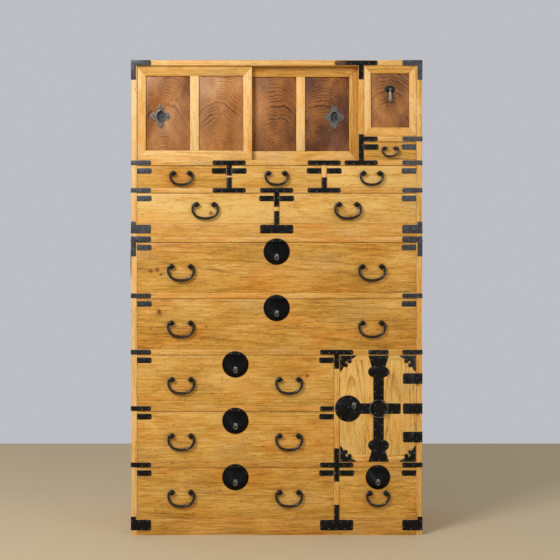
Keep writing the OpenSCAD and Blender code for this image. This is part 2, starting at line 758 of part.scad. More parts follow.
module sliding_door_panels(s) {
    door_panels(slide_x0(s), slide_x0(s) + slide_w, slide_z0, slide_z1, slide_y(s), stile_w, door_rail_h,
        muntin_w) at_pull(s) oval(cup_a + glue_gap, cup_b + glue_gap, 40);
}

module at_pull(s) {
    translate([pull_x(s), 0, pull_z]) stand(slide_y(s) + door_t, 2*door_t) children();
}

// An oval with half-axes a and b
module oval(a, b, n) {
    polygon([for (i = [0 : n - 1]) [a*cos(360*i/n), b*sin(360*i/n)]]);
}

// The leaves of one lobe of a pull, above a rim that is high at this distance from the middle
module lobe(high, r) {
    for (x = [-1, 1]) translate([1.3*x*leaf_r, high + 0.6*leaf_r]) circle(r);
    translate([0, high + 1.75*leaf_r]) circle(r);
}

module lobes(r) {
    for (z = [0, 1]) mirror([0, z]) lobe(cup_b + cup_rim, r);
    for (x = [0, 1]) mirror([x, 0]) rotate(-90) lobe(cup_a + cup_rim, r);
}

// Recessed finger pull: an oval cup let into the panel, and a plate with four pierced lobes round it
module door_pull(s) {
    face = slide_y(s) - door_t/2 + panel_recess;
    color(IRON) translate([pull_x(s), 0, pull_z]) {
        difference() {
            union() {
                stand(face) difference() {
                    union() {
                        oval(cup_a + cup_rim, cup_b + cup_rim, 40);
                        lobes(leaf_r);
                    }
                    lobes(leaf_hole_r);
                }
                stand(face + cup_depth, cup_depth + 2*iron_t) oval(cup_a, cup_b, 40);
            }
            stand(face + cup_depth - iron_t, cup_depth + 3*iron_t) oval(cup_a - iron_t, cup_b - iron_t, 40);
        }
    }
}

lift_x0 = side_bay_x + door_gap;
lift_x1 = in_x - door_gap;
lift_z0 = lift_z + door_gap;
lift_z1 = upper_in_top + 2.5;
drop_z = lift_z0 + 0.66*(lift_z1 - lift_z0);

module lift_out_door_frame() {
    door_frame(lift_x0, lift_x1, lift_z0, lift_z1, lift_y, lift_stile_w, lift_rail_h, 0,
        sill_groove + door_gap - 0.3, 0, tongue_t);
}

module lift_out_door_panel() {
    door_panels(lift_x0, lift_x1, lift_z0, lift_z1, lift_y, lift_stile_w, lift_rail_h, 0)
        drop_rivet_place() cylinder(h = panel_t + 8, r = shank_r + shank_hole_gap, center = true);
}

module drop_rivet_place() {
    panel_mid_y = lift_y - door_t/2 + panel_recess + panel_t/2;
    for (x = [-10, 10]) translate([(lift_x0 + lift_x1)/2 + x, panel_mid_y, drop_z])
        rotate([90, 0, 0]) children();
}

drop_pin_r = 1.6;
drop_reach = 9;

// Leaf-shaped plate with two ears and the pin that the drop swings on
module lift_out_door_plate() {
    face = lift_y - door_t/2 + panel_recess;
    x = (lift_x0 + lift_x1)/2;
    color(IRON) {
        union() {
            translate([x, 0, drop_z]) stand(face) {
                intersection() {
                    translate([0, -8]) circle(20);
                    translate([0, 8]) circle(20);
                }
                intersection() {
                    translate([-14, 0]) circle(20);
                    translate([14, 0]) circle(20);
                }
            }
            for (s = [-1, 1]) translate([x + s*5 - 1, face - drop_reach, drop_z]) {
                rotate([0, 90, 0]) cylinder(h = 2, r = 3.5);
                translate([0, 0, -2.5]) cube([2, drop_reach - iron_t + EPS, 5]);
            }
            translate([x - 6, face - drop_reach, drop_z]) rotate([0, 90, 0]) cylinder(h = 12, r = drop_pin_r);
        }
        drop_rivet_place() translate([0, 0, -panel_t/2 - 1]) cylinder(h = panel_t + 1, r = shank_r);
    }
}

// The hanging drop: an eye, a short neck and a long swelling end
module lift_out_door_drop() {
    face = lift_y - door_t/2 + panel_recess;
    color(IRON) translate([(lift_x0 + lift_x1)/2, face - drop_reach, drop_z]) difference() {
        union() {
            translate([-3.5, 0, 0]) rotate([0, 90, 0]) cylinder(h = 7, r = 3.4);
            translate([0, 0, -45]) rotate_extrude()
                polygon([[0, 0], [3.4, 0.6], [5.6, 3], [6.4, 7], [6.3, 14], [5.6, 26], [4.2, 35],
                    [2.4, 39], [2.2, 44], [0, 44]]);
        }
        translate([-4, 0, 0]) rotate([0, 90, 0]) cylinder(h = 8, r = drop_pin_r + pin_clearance);
    }
}

// ---------- safe door ----------

safe_door_x0 = safe_x + safe_gap;
safe_door_x1 = in_x - safe_gap;
safe_door_z0 = safe_z0 + safe_gap;
safe_door_z1 = safe_z1 - safe_gap;
safe_face = front_y - 0.3;
hinge_y = front_y - knuckle_r - 0.5;
strap_x = right_col_x + 2;
safe_mid_z = (safe_z0 + safe_z1)/2;
safe_lock_x = safe_x + 28.6;
safe_key_x = safe_lock_x + 18;
safe_key_z = safe_mid_z + 6;
ring_hang_z = safe_mid_z + ring_r;
ring_reach = ring_bar_r + 5;

// Three upright boards between an upper and a lower batten
module safe_door() {
    n = 3;
    w = (safe_door_x1 - safe_door_x0)/n;
    color(DRAWER_WOOD) {
        difference() {
            for (i = [0 : n - 1])
                board(safe_door_x0 + i*w + (i > 0 ? glue_gap/2 : 0),
                    safe_door_x0 + (i + 1)*w - (i < n - 1 ? glue_gap/2 : 0), safe_face, safe_face + safe_t,
                    safe_door_z0 + batten_foot_h + glue_gap, safe_door_z1 - batten_top_h - glue_gap);
            translate([safe_key_x, safe_face - 1, safe_key_z]) rotate([-90, 0, 0])
                cylinder(h = safe_t + 2, r = key_r + 1);
            translate([strap_x, safe_face - 1, ring_hang_z]) rotate([-90, 0, 0])
                cylinder(h = safe_t + 2, r = shank_r + shank_hole_gap);
        }
        board(safe_door_x0, safe_door_x1, safe_face, safe_face + safe_t,
            safe_door_z1 - batten_top_h, safe_door_z1);
        board(safe_door_x0, safe_door_x1, safe_face, safe_face + safe_t,
            safe_door_z0, safe_door_z0 + batten_foot_h);
    }
}

// Hinge places, counted up from the floor of the compartment
module safe_hinges() {
    for (f = [0.235, 0.5, 0.78]) translate([0, 0, safe_z0 + f*(safe_z1 - safe_z0) - hinge_h/2]) children();
}

// Door leaf of one hinge, with the middle knuckle
module door_leaf() {
    third = hinge_h/3;
    reach = in_x - 44;
    difference() {
        union() {
            stand(safe_face) strap(reach, in_x - EPS, 0, hinge_h, true, false);
            translate([in_x, hinge_y, third + 0.2]) cylinder(h = third - 0.4, r = knuckle_r);
        }
        for (z = [-1, 2*third - 0.2])
            translate([in_x - knuckle_r - 0.5, hinge_y - 2*knuckle_r, z])
                cube([20, 4*knuckle_r, third + 1.2]);
        translate([in_x, hinge_y, -1]) cylinder(h = hinge_h + 2, r = hinge_pin_r + pin_clearance);
    }
}

// Case leaf of one hinge: wraps round the corner, and carries the outer knuckles and the pin
module case_leaf() {
    third = hinge_h/3;
    union() {
        difference() {
            union() {
                stand(front_y) strap(in_x + EPS, half_w + iron_t, 0, hinge_h, false, false);
                translate([half_w, front_y, 0]) rotate([90, 0, 90]) linear_extrude(iron_t)
                    strap(-iron_t, wrap_l, 0, hinge_h, false, false);
                for (z = [0, 2*third]) translate([in_x, hinge_y, z]) cylinder(h = third, r = knuckle_r);
            }
            translate([in_x - 20, hinge_y - 2*knuckle_r, third])
                cube([20 + knuckle_r + 0.5, 4*knuckle_r, third]);
        }
        translate([in_x, hinge_y, 0]) cylinder(h = hinge_h, r = hinge_pin_r);
    }
}

// Iron of the safe door: cross straps, corner ornaments, lock plate, ring staple and hinge leaves
module safe_door_ironwork() {
    flare_l = 36;
    zt = safe_door_z1;
    zb = safe_door_z0;
    color(IRON) {
        difference() {
            union() {
                stand(safe_face) {
                    square_between(strap_x - cross_half, strap_x + cross_half, zb + 2, zt - 2);
                    for (e = [[zt - 1, -1], [zb + 1, 1]]) {
                        polygon([[strap_x - flare_w, e[0]], [strap_x + flare_w, e[0]],
                            [strap_x + 1.3*cross_half, e[0] + e[1]*flare_l],
                            [strap_x - 1.3*cross_half, e[0] + e[1]*flare_l]]);
                        for (s = [-1, 1])
                            translate([strap_x + s*cross_half, e[0] + e[1]*(flare_l + cross_half)])
                                circle(cross_half);
                    }
                    strap(safe_lock_x, strap_x + cross_l, safe_mid_z - cross_half,
                        safe_mid_z + cross_half, false, true);
                    translate([safe_lock_x, safe_mid_z]) circle(lock_r);
                }
                translate([safe_key_x, safe_face, safe_key_z]) rotate([90, 0, 0])
                    cylinder(h = 2*iron_t, r = boss_r);
            }
            keyhole(safe_key_x, safe_face, safe_key_z);
            translate([strap_x, safe_face - 2*iron_t, ring_hang_z]) rotate([-90, 0, 0])
                cylinder(h = 4*iron_t, r = shank_r + shank_hole_gap);
        }
        for (s = [0, 1], t = [0, 1]) corner_ornament(s, t);
        ring_staple();
        safe_hinges() door_leaf();
    }
}

// A three-cornered plate with two lobes on its long side, and a notch and a slot between them
module corner_ornament(s, t) {
    size = 54;
    lobe_r = 0.12*size;
    translate([s ? safe_door_x1 : safe_door_x0, 0, t ? safe_door_z1 : safe_door_z0])
        mirror([s, 0, 0]) mirror([0, 0, t]) stand(safe_face) difference() {
            union() {
                polygon([[1, 1], [size, 1], [0.92*size, 0.1*size], [0.62*size, 0.28*size],
                    [0.28*size, 0.62*size], [0.1*size, 0.92*size], [1, size]]);
                translate([0.6*size, 0.36*size]) circle(lobe_r);
                translate([0.36*size, 0.6*size]) circle(lobe_r);
            }
            translate([0.54*size, 0.54*size]) circle(0.6*lobe_r);
            translate([0.4*size, 0.4*size]) rotate(-45) square([1.5*lobe_r, 0.6*lobe_r], center = true);
        }
}

// The staple that holds the ring, driven through the door
module ring_staple() {
    translate([strap_x, safe_face, ring_hang_z]) difference() {
        union() {
            translate([-eye_w/2, -ring_reach, 0]) rotate([0, 90, 0])
                cylinder(h = eye_w, r = ring_bar_r + eye_wall);
            rotate([90, 0, 0]) cylinder(h = ring_reach - ring_bar_r - 1, r = shank_r);
            translate([0, -EPS, 0]) rotate([-90, 0, 0]) cylinder(h = safe_t + 1, r = shank_r);
            translate([-clinch[0]/2, safe_t, -clinch[2]/2]) cube(clinch);
        }
        translate([-eye_w, -ring_reach, 0]) rotate([0, 90, 0]) cylinder(h = 2*eye_w, r = ring_bar_r + 0.4);
    }
}

module safe_door_ring() {
    color(IRON) translate([strap_x, safe_face - ring_reach, ring_hang_z - ring_r]) rotate([90, 0, 0])
        rotate_extrude() translate([ring_r, 0]) circle(ring_bar_r);
}

// ---------- nodes ----------

lower_case();
lower_case_ironwork();
upper_case();
upper_case_ironwork();
sliding_door_frame(-1);  // left_sliding_door_frame
sliding_door_panels(-1);  // left_sliding_door_panels
door_pull(-1);  // left_sliding_door_pull
sliding_door_frame(1);  // right_sliding_door_frame
sliding_door_panels(1);  // right_sliding_door_panels
door_pull(1);  // right_sliding_door_pull
lift_out_door_frame();
lift_out_door_panel();
lift_out_door_plate();
lift_out_door_drop();
safe_door();
safe_door_ironwork();
safe_door_ring();
carry_sides([0]) bail(CARRY, carry_reach);  // left_carrying_handle
carry_sides([1]) bail(CARRY, carry_reach);  // right_carrying_handle
for (d = DRAWERS) {
    drawer(d);
    drawer_ironwork(d);
    for (i = [0 : len(d[6]) - 1])
        translate([d[6][i], front_y + front_recess, bail_z(d)]) bail(d[5]);
}
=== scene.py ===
# %% [markdown]
# # A clothing chest in two stacked cases
# The joinery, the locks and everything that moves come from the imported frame. This script gives
# every board its grain, every plate its forged surface and its nails, and lights the chest softly.

import json
import math
import random

import bmesh
import bpy
from mathutils import Matrix, Vector
from mathutils.bvhtree import BVHTree


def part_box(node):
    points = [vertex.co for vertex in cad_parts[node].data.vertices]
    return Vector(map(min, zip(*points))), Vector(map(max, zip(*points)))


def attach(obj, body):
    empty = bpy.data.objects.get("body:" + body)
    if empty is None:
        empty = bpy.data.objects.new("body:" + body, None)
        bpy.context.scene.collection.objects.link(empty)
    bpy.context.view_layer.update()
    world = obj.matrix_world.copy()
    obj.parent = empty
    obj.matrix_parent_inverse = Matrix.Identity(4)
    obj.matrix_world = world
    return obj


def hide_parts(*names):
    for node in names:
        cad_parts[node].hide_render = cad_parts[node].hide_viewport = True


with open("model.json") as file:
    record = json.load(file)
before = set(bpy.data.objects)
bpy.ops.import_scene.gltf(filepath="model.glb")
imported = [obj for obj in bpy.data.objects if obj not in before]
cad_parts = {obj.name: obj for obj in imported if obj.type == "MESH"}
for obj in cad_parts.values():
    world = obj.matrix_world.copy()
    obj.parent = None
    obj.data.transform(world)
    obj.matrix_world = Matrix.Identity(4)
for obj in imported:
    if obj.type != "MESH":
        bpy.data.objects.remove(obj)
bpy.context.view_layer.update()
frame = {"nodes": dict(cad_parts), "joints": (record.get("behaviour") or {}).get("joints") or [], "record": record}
NODES = frame["nodes"]
BODY_OF = {n: b for b, names in frame["record"]["behaviour"]["bodies"].items() for n in names}
PIVOT = {j["child"]: Vector(j["pos_m"]) for j in frame["joints"] if j["type"] == "hinge"}
MM = 0.001

# %% [markdown]
# ## Camera
# The photograph is a level, frontal view from a few metres away, so its lines stay square. One
# distance and one width of view give the lens: the frame is 1.83 m wide where the drawers' fronts are.
# The camera stands a little left of the middle, where a sliver of the left carrying handle shows.

# %% Place the camera
VIEW_WIDTH = 1.831
VIEW_DISTANCE = 3.6
EYE_HEIGHT = 0.834
FRAME_CENTRE_X = 0.011
CAMERA_X = -0.03
FRONT_Y = -0.215
SENSOR = 36.0

camera_data = bpy.data.cameras.new("camera")
camera_data.sensor_width = SENSOR
camera_data.lens = SENSOR * VIEW_DISTANCE / VIEW_WIDTH
camera = bpy.data.objects.new("camera", camera_data)
camera_data.shift_x = (FRAME_CENTRE_X - CAMERA_X) / VIEW_WIDTH
camera.location = (CAMERA_X, FRONT_Y - VIEW_DISTANCE, EYE_HEIGHT)
camera.rotation_euler = (math.radians(90), 0, 0)
bpy.context.scene.collection.objects.link(camera)
bpy.context.scene.camera = camera
bpy.context.scene.view_settings.view_transform = "Standard"
print(f"lens {camera_data.lens:.1f} mm")

# %% [markdown]
# ## Helpers for materials
# Colours are written as people pick them, in sRGB hex, and Blender works in linear light, so one
# function converts them. A second one adds a node, sets it and links it.

# %% Colour and node helpers
def colour(hex_code):
    """An sRGB hex colour as linear RGBA."""
    parts = [int(hex_code[i:i + 2], 16) / 255 for i in (1, 3, 5)]
    return [c / 12.92 if c <= 0.04045 else ((c + 0.055) / 1.055) ** 2.4 for c in parts] + [1.0]


def grey(value):
    """A grey as linear RGBA."""
    return [value, value, value, 1.0]


def add(tree, kind, inputs=(), out=0, stops=(), **settings):
    """Adds a node and gives one output. Inputs are sockets or values, in order or by number or name."""
    node = tree.nodes.new("ShaderNode" + kind)
    for key, value in settings.items():
        setattr(node, key, value)
    for key, value in inputs.items() if isinstance(inputs, dict) else enumerate(inputs):
        if isinstance(value, bpy.types.NodeSocket):
            tree.links.new(value, node.inputs[key])
        else:
            node.inputs[key].default_value = value
    if stops:
        elements = node.color_ramp.elements
        while len(elements) < len(stops):
            elements.new(0.5)
        for element, (position, value) in zip(elements, stops):
            element.position = position
            element.color = value
    return node.outputs[out]


def new_material(name):
    """An empty node material, its node tree and its Principled shader."""
    material = bpy.data.materials.new(name)
    material.use_nodes = True
    tree = material.node_tree
    shader = next(n for n in tree.nodes if n.type == "BSDF_PRINCIPLED")
    return material, tree, shader


print("white is", colour("#ffffff")[:3])

# %% [markdown]
# A finish is put together from a few steps that come back: a pattern of noise that is stretched
# along an axis, how far one value lies beyond another, and one colour darkened or covered by another.

# %% Steps that the finishes share
def pattern(tree, vector, scale, detail=2.0, roughness=0.5):
    """Noise from 0 to 1, with so many cycles per metre along each axis."""
    stretched = add(tree, "Mapping", {0: vector, 3: scale}, vector_type="POINT")
    return add(tree, "TexNoise", {0: stretched, 2: 1.0, 3: detail, 4: roughness})


def swing(tree, noise, gain):
    """A noise moved to swing evenly round zero, times a gain."""
    return add(tree, "Math", (add(tree, "Math", (noise, 0.5), operation="SUBTRACT"), gain),
               operation="MULTIPLY")


def beyond(tree, first, second, gain):
    """How far the first value lies above the second, times a gain, and 0 where it lies below."""
    gap = add(tree, "Math", (first, second), operation="SUBTRACT", use_clamp=True)
    return add(tree, "Math", (gap, gain), operation="MULTIPLY")


def band(tree, distance, full_mm, none_mm):
    """1 up to one distance in millimetres, and 0 beyond another."""
    width = none_mm - full_mm
    return add(tree, "Math", (distance, -1 / (width * MM), none_mm / width), operation="MULTIPLY_ADD",
               use_clamp=True)


def darkened(tree, amount, base, hex_code):
    """Multiplies a colour by another, as far as the amount says."""
    return add(tree, "Mix", {0: amount, 6: base, 7: colour(hex_code)}, out=2, data_type="RGBA",
               blend_type="MULTIPLY")


def covered(tree, amount, base, hex_code):
    """Covers a colour with another, as far as the amount says."""
    return add(tree, "Mix", {0: amount, 6: base, 7: colour(hex_code)}, out=2, data_type="RGBA")


def stain(tree, places):
    """1 in the middle of each (x, z, radius) in millimetres on the front, with ragged edges."""
    where = add(tree, "TexCoord", out="Object")
    flat = add(tree, "VectorMath", (where, (1, 0, 1)), operation="MULTIPLY")
    ragged = pattern(tree, where, (90, 90, 160), 3.0, 0.7)
    most = 0.0
    for x, z, radius in places:
        away = add(tree, "VectorMath", (flat, (x * MM, 0, z * MM)), out=1, operation="DISTANCE")
        inside = add(tree, "Math", (away, -1 / (radius * MM), 0.35), operation="MULTIPLY_ADD")
        here = add(tree, "Math", (ragged, 1.5, inside), operation="MULTIPLY_ADD", use_clamp=True)
        most = add(tree, "Math", (most, here), operation="MAXIMUM")
    return most


def surface(tree, shader, body, gloss, relief, strength, height):
    """Gives a shader its colour, its roughness and a relief of some height in metres."""
    tree.links.new(body, shader.inputs["Base Color"])
    tree.links.new(gloss, shader.inputs["Roughness"])
    normal = add(tree, "Bump", {0: strength, 1: height, "Height": relief})
    tree.links.new(normal, shader.inputs["Normal"])


print("steps that the wood and the iron share are ready")

# %% [markdown]
# ## Wood
# A board is a slice of a trunk. If every point knows where it lay in the trunk, the growth rings
# can be drawn as cylinders round the pith, and the slice shows straight lines where it was cut far
# from the pith, arches where it was cut near it, and rings on its ends. Each board therefore
# carries its own place in a trunk as an attribute, `grain`: along the fibres, across, and deep.
# `place` and `half` tell how far a point is from the board's edges, where hands darken it and soot and painted
# shade fill the gaps, `tone` how deep the board's colour is, and `seam` where its edge is broken, which painted
# shade darkens.

# %% Growth rings in a board
def rings(tree, grain, ring_mm, warp_mm, warp_scale):
    """Sawtooth of the growth rings, 0 to 1, from one year's end to the next."""
    slow = add(tree, "Mapping", {0: grain, 3: warp_scale}, vector_type="POINT")
    drift = add(tree, "TexNoise", {0: slow, 2: 1.0, 3: 3.0, 4: 0.55}, out=1)
    even = add(tree, "VectorMath", (drift, (0.5, 0.5, 0.5)), operation="SUBTRACT")
    push = warp_mm * MM * 2
    scaled = add(tree, "VectorMath", (even, (0, push, push)), operation="MULTIPLY")
    warped = add(tree, "VectorMath", (grain, scaled), operation="ADD")
    section = add(tree, "VectorMath", (warped, (0, 1, 1)), operation="MULTIPLY")
    radius = add(tree, "VectorMath", (section,), out=1, operation="LENGTH")
    # years differ in width, so a noise four years long moves the count on or back by about one
    years = add(tree, "TexNoise", {1: radius, 2: 0.25 / (ring_mm * MM), 3: 1.0}, noise_dimensions="1D")
    count = add(tree, "Math", (radius, 1 / (ring_mm * MM)), operation="MULTIPLY")
    uneven = add(tree, "Math", (years, 2.4, count), operation="MULTIPLY_ADD")
    return add(tree, "Math", (uneven,), operation="FRACT")


def edge_distance(tree):
    """Distance in metres from a point on a face of the board to the nearest edge of that face."""
    place = add(tree, "Attribute", out=1, attribute_name="place")
    half = add(tree, "Attribute", out=1, attribute_name="half")
    facing = add(tree, "VectorMath", (add(tree, "TexCoord", out="Normal"),), operation="ABSOLUTE")
    far = add(tree, "VectorMath", (place,), operation="ABSOLUTE")
    left = add(tree, "VectorMath", (half, far), operation="SUBTRACT")
    # the direction that the face looks in doesn't count, so it is pushed far away
    pushed = add(tree, "VectorMath", (facing, (1, 1, 1), left), operation="MULTIPLY_ADD")
    x, y, z = add(tree, "SeparateXYZ", (pushed,)).node.outputs
    return add(tree, "Math", (add(tree, "Math", (x, y), operation="MINIMUM"), z), operation="MINIMUM")


print("rings follow the pith, and edges are measured on each face")

# %% [markdown]
# The rings are only one part of a board's colour. Fibres, a slow drift, wax, dust, soot with painted shade in the
# gaps and pores come on top of them, and each wood below has its own amount of each.

# %% The colour of a planed board
def planed_wood(name, pale, mid, deep, orange, dust, ring_mm, ring_depth, ring_line, warp_mm, warp_scale,
                blotch, fibres, soot_and_shade, roughness, knots=(), hidden_mm=0):
    """A planed and waxed board: rings, fibres, slow drift of colour, hand wear, soot and painted shade at the
    edges, pores.
    """
    material, tree, shader = new_material(name)
    grain = add(tree, "Attribute", out=1, attribute_name="grain")
    tone = add(tree, "Attribute", out=2, attribute_name="tone")
    seam = add(tree, "Attribute", out=2, attribute_name="seam")
    saw = rings(tree, grain, ring_mm, warp_mm, warp_scale)
    # the dark late wood is ring_line of a year wide, and it ends more sharply than it begins
    late = add(tree, "ValToRGB", (saw,), stops=[
        (0.0, grey(1.0)), (0.3 * ring_line, grey(0.25)), (0.7 * ring_line, grey(0.0)),
        (1 - ring_line, grey(0.05)), (1 - 0.4 * ring_line, grey(0.6)), (1.0, grey(1.0))])
    some_years = beyond(tree, pattern(tree, grain, (3, 20, 20)), 0.3, 3 * ring_depth)
    ring_dark = add(tree, "Math", (late, some_years), operation="MULTIPLY")

    # Fibres are finer than the eye can part from here, so they are drawn 4 mm apart and 60 mm long.
    # Streaks are three times as wide, and the colour drifts over a hand's width.
    fibre = pattern(tree, grain, (16, 240, 240), 3.0, 0.8)
    streak = pattern(tree, grain, (5, 75, 75), 3.0, 0.6)
    drift = pattern(tree, grain, (5, 11, 11), 3.0, 0.6)
    shade = add(tree, "Math", (ring_dark, tone), operation="ADD")
    for noise, gain in ((drift, blotch), (streak, 0.6 * fibres), (fibre, 1.8 * fibres)):
        shade = add(tree, "Math", (shade, swing(tree, noise, gain)), operation="ADD")
    body = add(tree, "ValToRGB", (shade,),
               stops=[(0.0, colour(pale)), (0.45, colour(mid)), (1.0, colour(deep))])

    # wax has turned some places orange, and dust has greyed others
    warm = pattern(tree, grain, (6, 11, 11))
    body = darkened(tree, beyond(tree, warm, 0.5, 3.0), body, orange)
    body = covered(tree, beyond(tree, 0.44, warm, 1.8), body, dust)

    # soot and wax fill the gap beside a board and painted shade of the gap lies over it, and hands darken its last
    # few millimetres
    edge = add(tree, "Math", (edge_distance(tree), hidden_mm * MM), operation="SUBTRACT")
    hands = add(tree, "Math", (band(tree, edge, 0, 9), 0.25), operation="MULTIPLY")
    # painted shade: the middle of every broken edge is darkened, as shade in the joint between boards
    rubbed = add(tree, "Math", (seam, 0.7), operation="MULTIPLY")
    wear_and_shade = add(tree, "Math", (hands, rubbed), operation="MAXIMUM")
    body = darkened(tree, wear_and_shade, body, "#6b3d20")
    # the dark band along the gap is soot and painted shade
    gap = add(tree, "Math", (band(tree, edge, 1.2, 2.8), soot_and_shade), operation="MULTIPLY")
    body = darkened(tree, gap, body, "#2c1509")

    # short dark pores and dents, two millimetres wide and up to ten long
    pores = beyond(tree, pattern(tree, grain, (80, 230, 230), 2.0, 0.6), 0.6, 6.0 * fibres)
    body = darkened(tree, pores, body, "#a8794f")
    if knots:
        body = darkened(tree, stain(tree, knots), body, "#8a5a3c")

    gloss = add(tree, "Math", (fibre, 0.2, roughness - 0.1), operation="MULTIPLY_ADD")
    sunken = add(tree, "Math", (ring_dark, -0.8), operation="MULTIPLY")
    relief = add(tree, "Math", (fibre, 0.5, sunken), operation="MULTIPLY_ADD")
    surface(tree, shader, body, gloss, relief, strength=0.3, height=0.5 * MM)
    shader.inputs["Specular IOR Level"].default_value = 0.3
    return material


print("a board's colour comes from its rings, its fibres, its edges and its pores")

# %% [markdown]
# The case and the drawers are of paulownia, a pale and light wood that stays straight. Oil and a
# century of air have turned it golden. The case boards catch more light and are the palest. Small
# knots and stains darken a few of the drawer fronts.

# %% Waxed paulownia of the case and the drawers, and figured zelkova
# x, z and radius of each, in millimetres
KNOTS = [(-412, 862, 9), (-391, 868, 10), (-377, 852, 7), (-384, 729, 13), (-230, 681, 5), (242, 1037, 11),
         (-215, 1052, 9), (100, 520, 7)]
WAXED_CASE = planed_wood("waxed_paulownia_case", "#eec788", "#d8a24c", "#a26d1c", "#ffdba0", "#bc9c70",
                         ring_mm=8, ring_depth=0.3, ring_line=0.3, warp_mm=6, warp_scale=(1.5, 6, 6),
                         blotch=0.7, fibres=0.8, soot_and_shade=0.75, roughness=0.50)
# The drawer fronts are wider boards, a little deeper in colour, with arches where they meet the pith
WAXED_FRONTS = planed_wood("waxed_paulownia_fronts", "#e3b768", "#cb953b", "#8f6016", "#ffdba0", "#b4945f",
                           ring_mm=10, ring_depth=0.3, ring_line=0.25, warp_mm=9, warp_scale=(1.5, 6, 6),
                           blotch=0.85, fibres=1.0, soot_and_shade=0.95, roughness=0.48, knots=KNOTS)
# The boards of the safe's door were sawn nearer to the pith, so their rings show as dark stripes
STRIPED_DOOR = planed_wood("waxed_paulownia_striped", "#e3b768", "#cb953b", "#7d5214", "#ffdba0", "#b4945f",
                           ring_mm=9, ring_depth=0.75, ring_line=0.35, warp_mm=7, warp_scale=(1.5, 8, 8),
                           blotch=0.8, fibres=1.0, soot_and_shade=0.95, roughness=0.48)
# The panels are of zelkova, a red-brown wood that is prized for the waves of its rings. Their outer
# 6.5 mm lie in the grooves of the frame, and soot and painted shade darken the wood along the groove.
FIGURED_PANEL = planed_wood("figured_zelkova", "#cf9f6c", "#aa713d", "#532c12", "#ffe79c", "#80564a",
                            ring_mm=3.9, ring_depth=0.47, ring_line=0.32, warp_mm=15, warp_scale=(6, 10, 10),
                            blotch=1.3, fibres=0.35, soot_and_shade=0.95, roughness=0.42, hidden_mm=6.5)
print("woods:", WAXED_CASE.name, WAXED_FRONTS.name, STRIPED_DOOR.name, FIGURED_PANEL.name)

# %% [markdown]
# ## Iron
# The fittings are forged sheet and bar, blackened over a fire and rubbed with wax. What shows is a
# skin of black oxide under wax, which shines like lacquer and not like bare metal, so the shader
# isn't metallic there, and only partly so where the iron is rubbed bright. Hammer marks are broad and
# shallow, with fine scale between them.

# %% Blackened, waxed iron
def forged_iron(name, dark, worn_and_sheen, roughness, shine, metallic=0.0, rust=()):
    """Hammer marks 6 mm apart, patches of 14 mm, specks of 6 mm, scale of 1 mm, on Object coordinates."""
    material, tree, shader = new_material(name)
    where = add(tree, "TexCoord", out="Object")
    tone = add(tree, "Attribute", out=2, attribute_name="tone")
    seam = add(tree, "Attribute", out=2, attribute_name="seam")
    hammer = add(tree, "TexVoronoi", {0: where, 2: 150.0}, feature="SMOOTH_F1")
    scale = pattern(tree, where, (900, 900, 900), 3.0, 0.6)
    patches = pattern(tree, where, (70, 70, 70), 3.0, 0.65)
    specks = pattern(tree, where, (170, 170, 170), 3.0, 0.65)
    mottle = add(tree, "Math", (swing(tree, patches, 0.6), swing(tree, specks, 1.3)), operation="ADD")
    # black iron stays even and grey iron is mottled; the grey is painted reflection on the plates and rubbed wear
    # on the fittings
    unevenness = add(tree, "Math", (tone, 1.3, 0.4), operation="MULTIPLY_ADD")
    spread = add(tree, "Math", (mottle, unevenness), operation="MULTIPLY")
    sheen_and_wear = add(tree, "Math", (spread, tone), operation="ADD", use_clamp=True)
    rubbed = add(tree, "Math", (seam, 0.5), operation="MULTIPLY")
    amount = add(tree, "Math", (sheen_and_wear, rubbed), operation="MAXIMUM")
    body = covered(tree, amount, colour(dark), worn_and_sheen)
    if rust:
        body = covered(tree, stain(tree, rust), body, "#6d4426")
    gloss = add(tree, "Math", (patches, 0.3, roughness - 0.15), operation="MULTIPLY_ADD")
    relief = add(tree, "Math", (scale, 0.25, hammer), operation="MULTIPLY_ADD")
    surface(tree, shader, body, gloss, relief, strength=0.4, height=0.6 * MM)
    shader.inputs["Metallic"].default_value = metallic
    shader.inputs["Specular IOR Level"].default_value = shine
    return material


# one end of the T strap over the sliding doors has rusted brown: its x, z and radius in millimetres
RUST = [(196, 1546, 34)]
# its grey is painted reflection on the upper plates and wear on the broken edges
BLACK_PLATE = forged_iron("blackened_iron_plate", "#070606", "#6f7178", 0.38, 0.2, rust=RUST)
BLACK_BAR = forged_iron("blackened_iron_bar", "#090706", "#40362e", 0.26, 0.6)
# fingers have rubbed these bright again: the drop and the ring, the nails, the pulls and the key bosses; the leaf
# over a keyhole is also painted bright as a highlight
RUBBED_BAR = forged_iron("rubbed_iron_bar", "#1e1b1d", "#9b918d", 0.26, 0.8, 0.4)
NAIL_HEAD = forged_iron("worn_iron_nail", "#26272a", "#8a8a86", 0.36, 0.6, 0.3)
RUBBED_PULL = forged_iron("rubbed_iron_pull", "#23282c", "#b9b4ac", 0.32, 0.6, 0.45)
KEY_BOSS = forged_iron("rubbed_iron_key_boss_painted_highlight", "#2a2a2b", "#a3a29c", 0.32, 0.5, 0.3)
IRONS = (BLACK_PLATE, BLACK_BAR, RUBBED_BAR, NAIL_HEAD, RUBBED_PULL, KEY_BOSS)
print("irons:", [iron.name for iron in IRONS])

# %% [markdown]
# ## From a CAD solid to a finished mesh
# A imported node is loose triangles. A copy is merged, its flat triangles are joined to whole faces,
# and its sharp edges are broken by a fraction of a millimetre, because a real edge always catches a
# line of light. The node itself stays in the model for collision and is hidden from view.

# %% Copy, merge and break the edges
# how far apart a node's loose corners may lie to be merged
SAME_PLACE = 2e-6
# an edge flatter than the first angle is left out, and one sharper than the second is broken
FLAT_ANGLE = math.radians(0.5)
SHARP_ANGLE = math.radians(35)


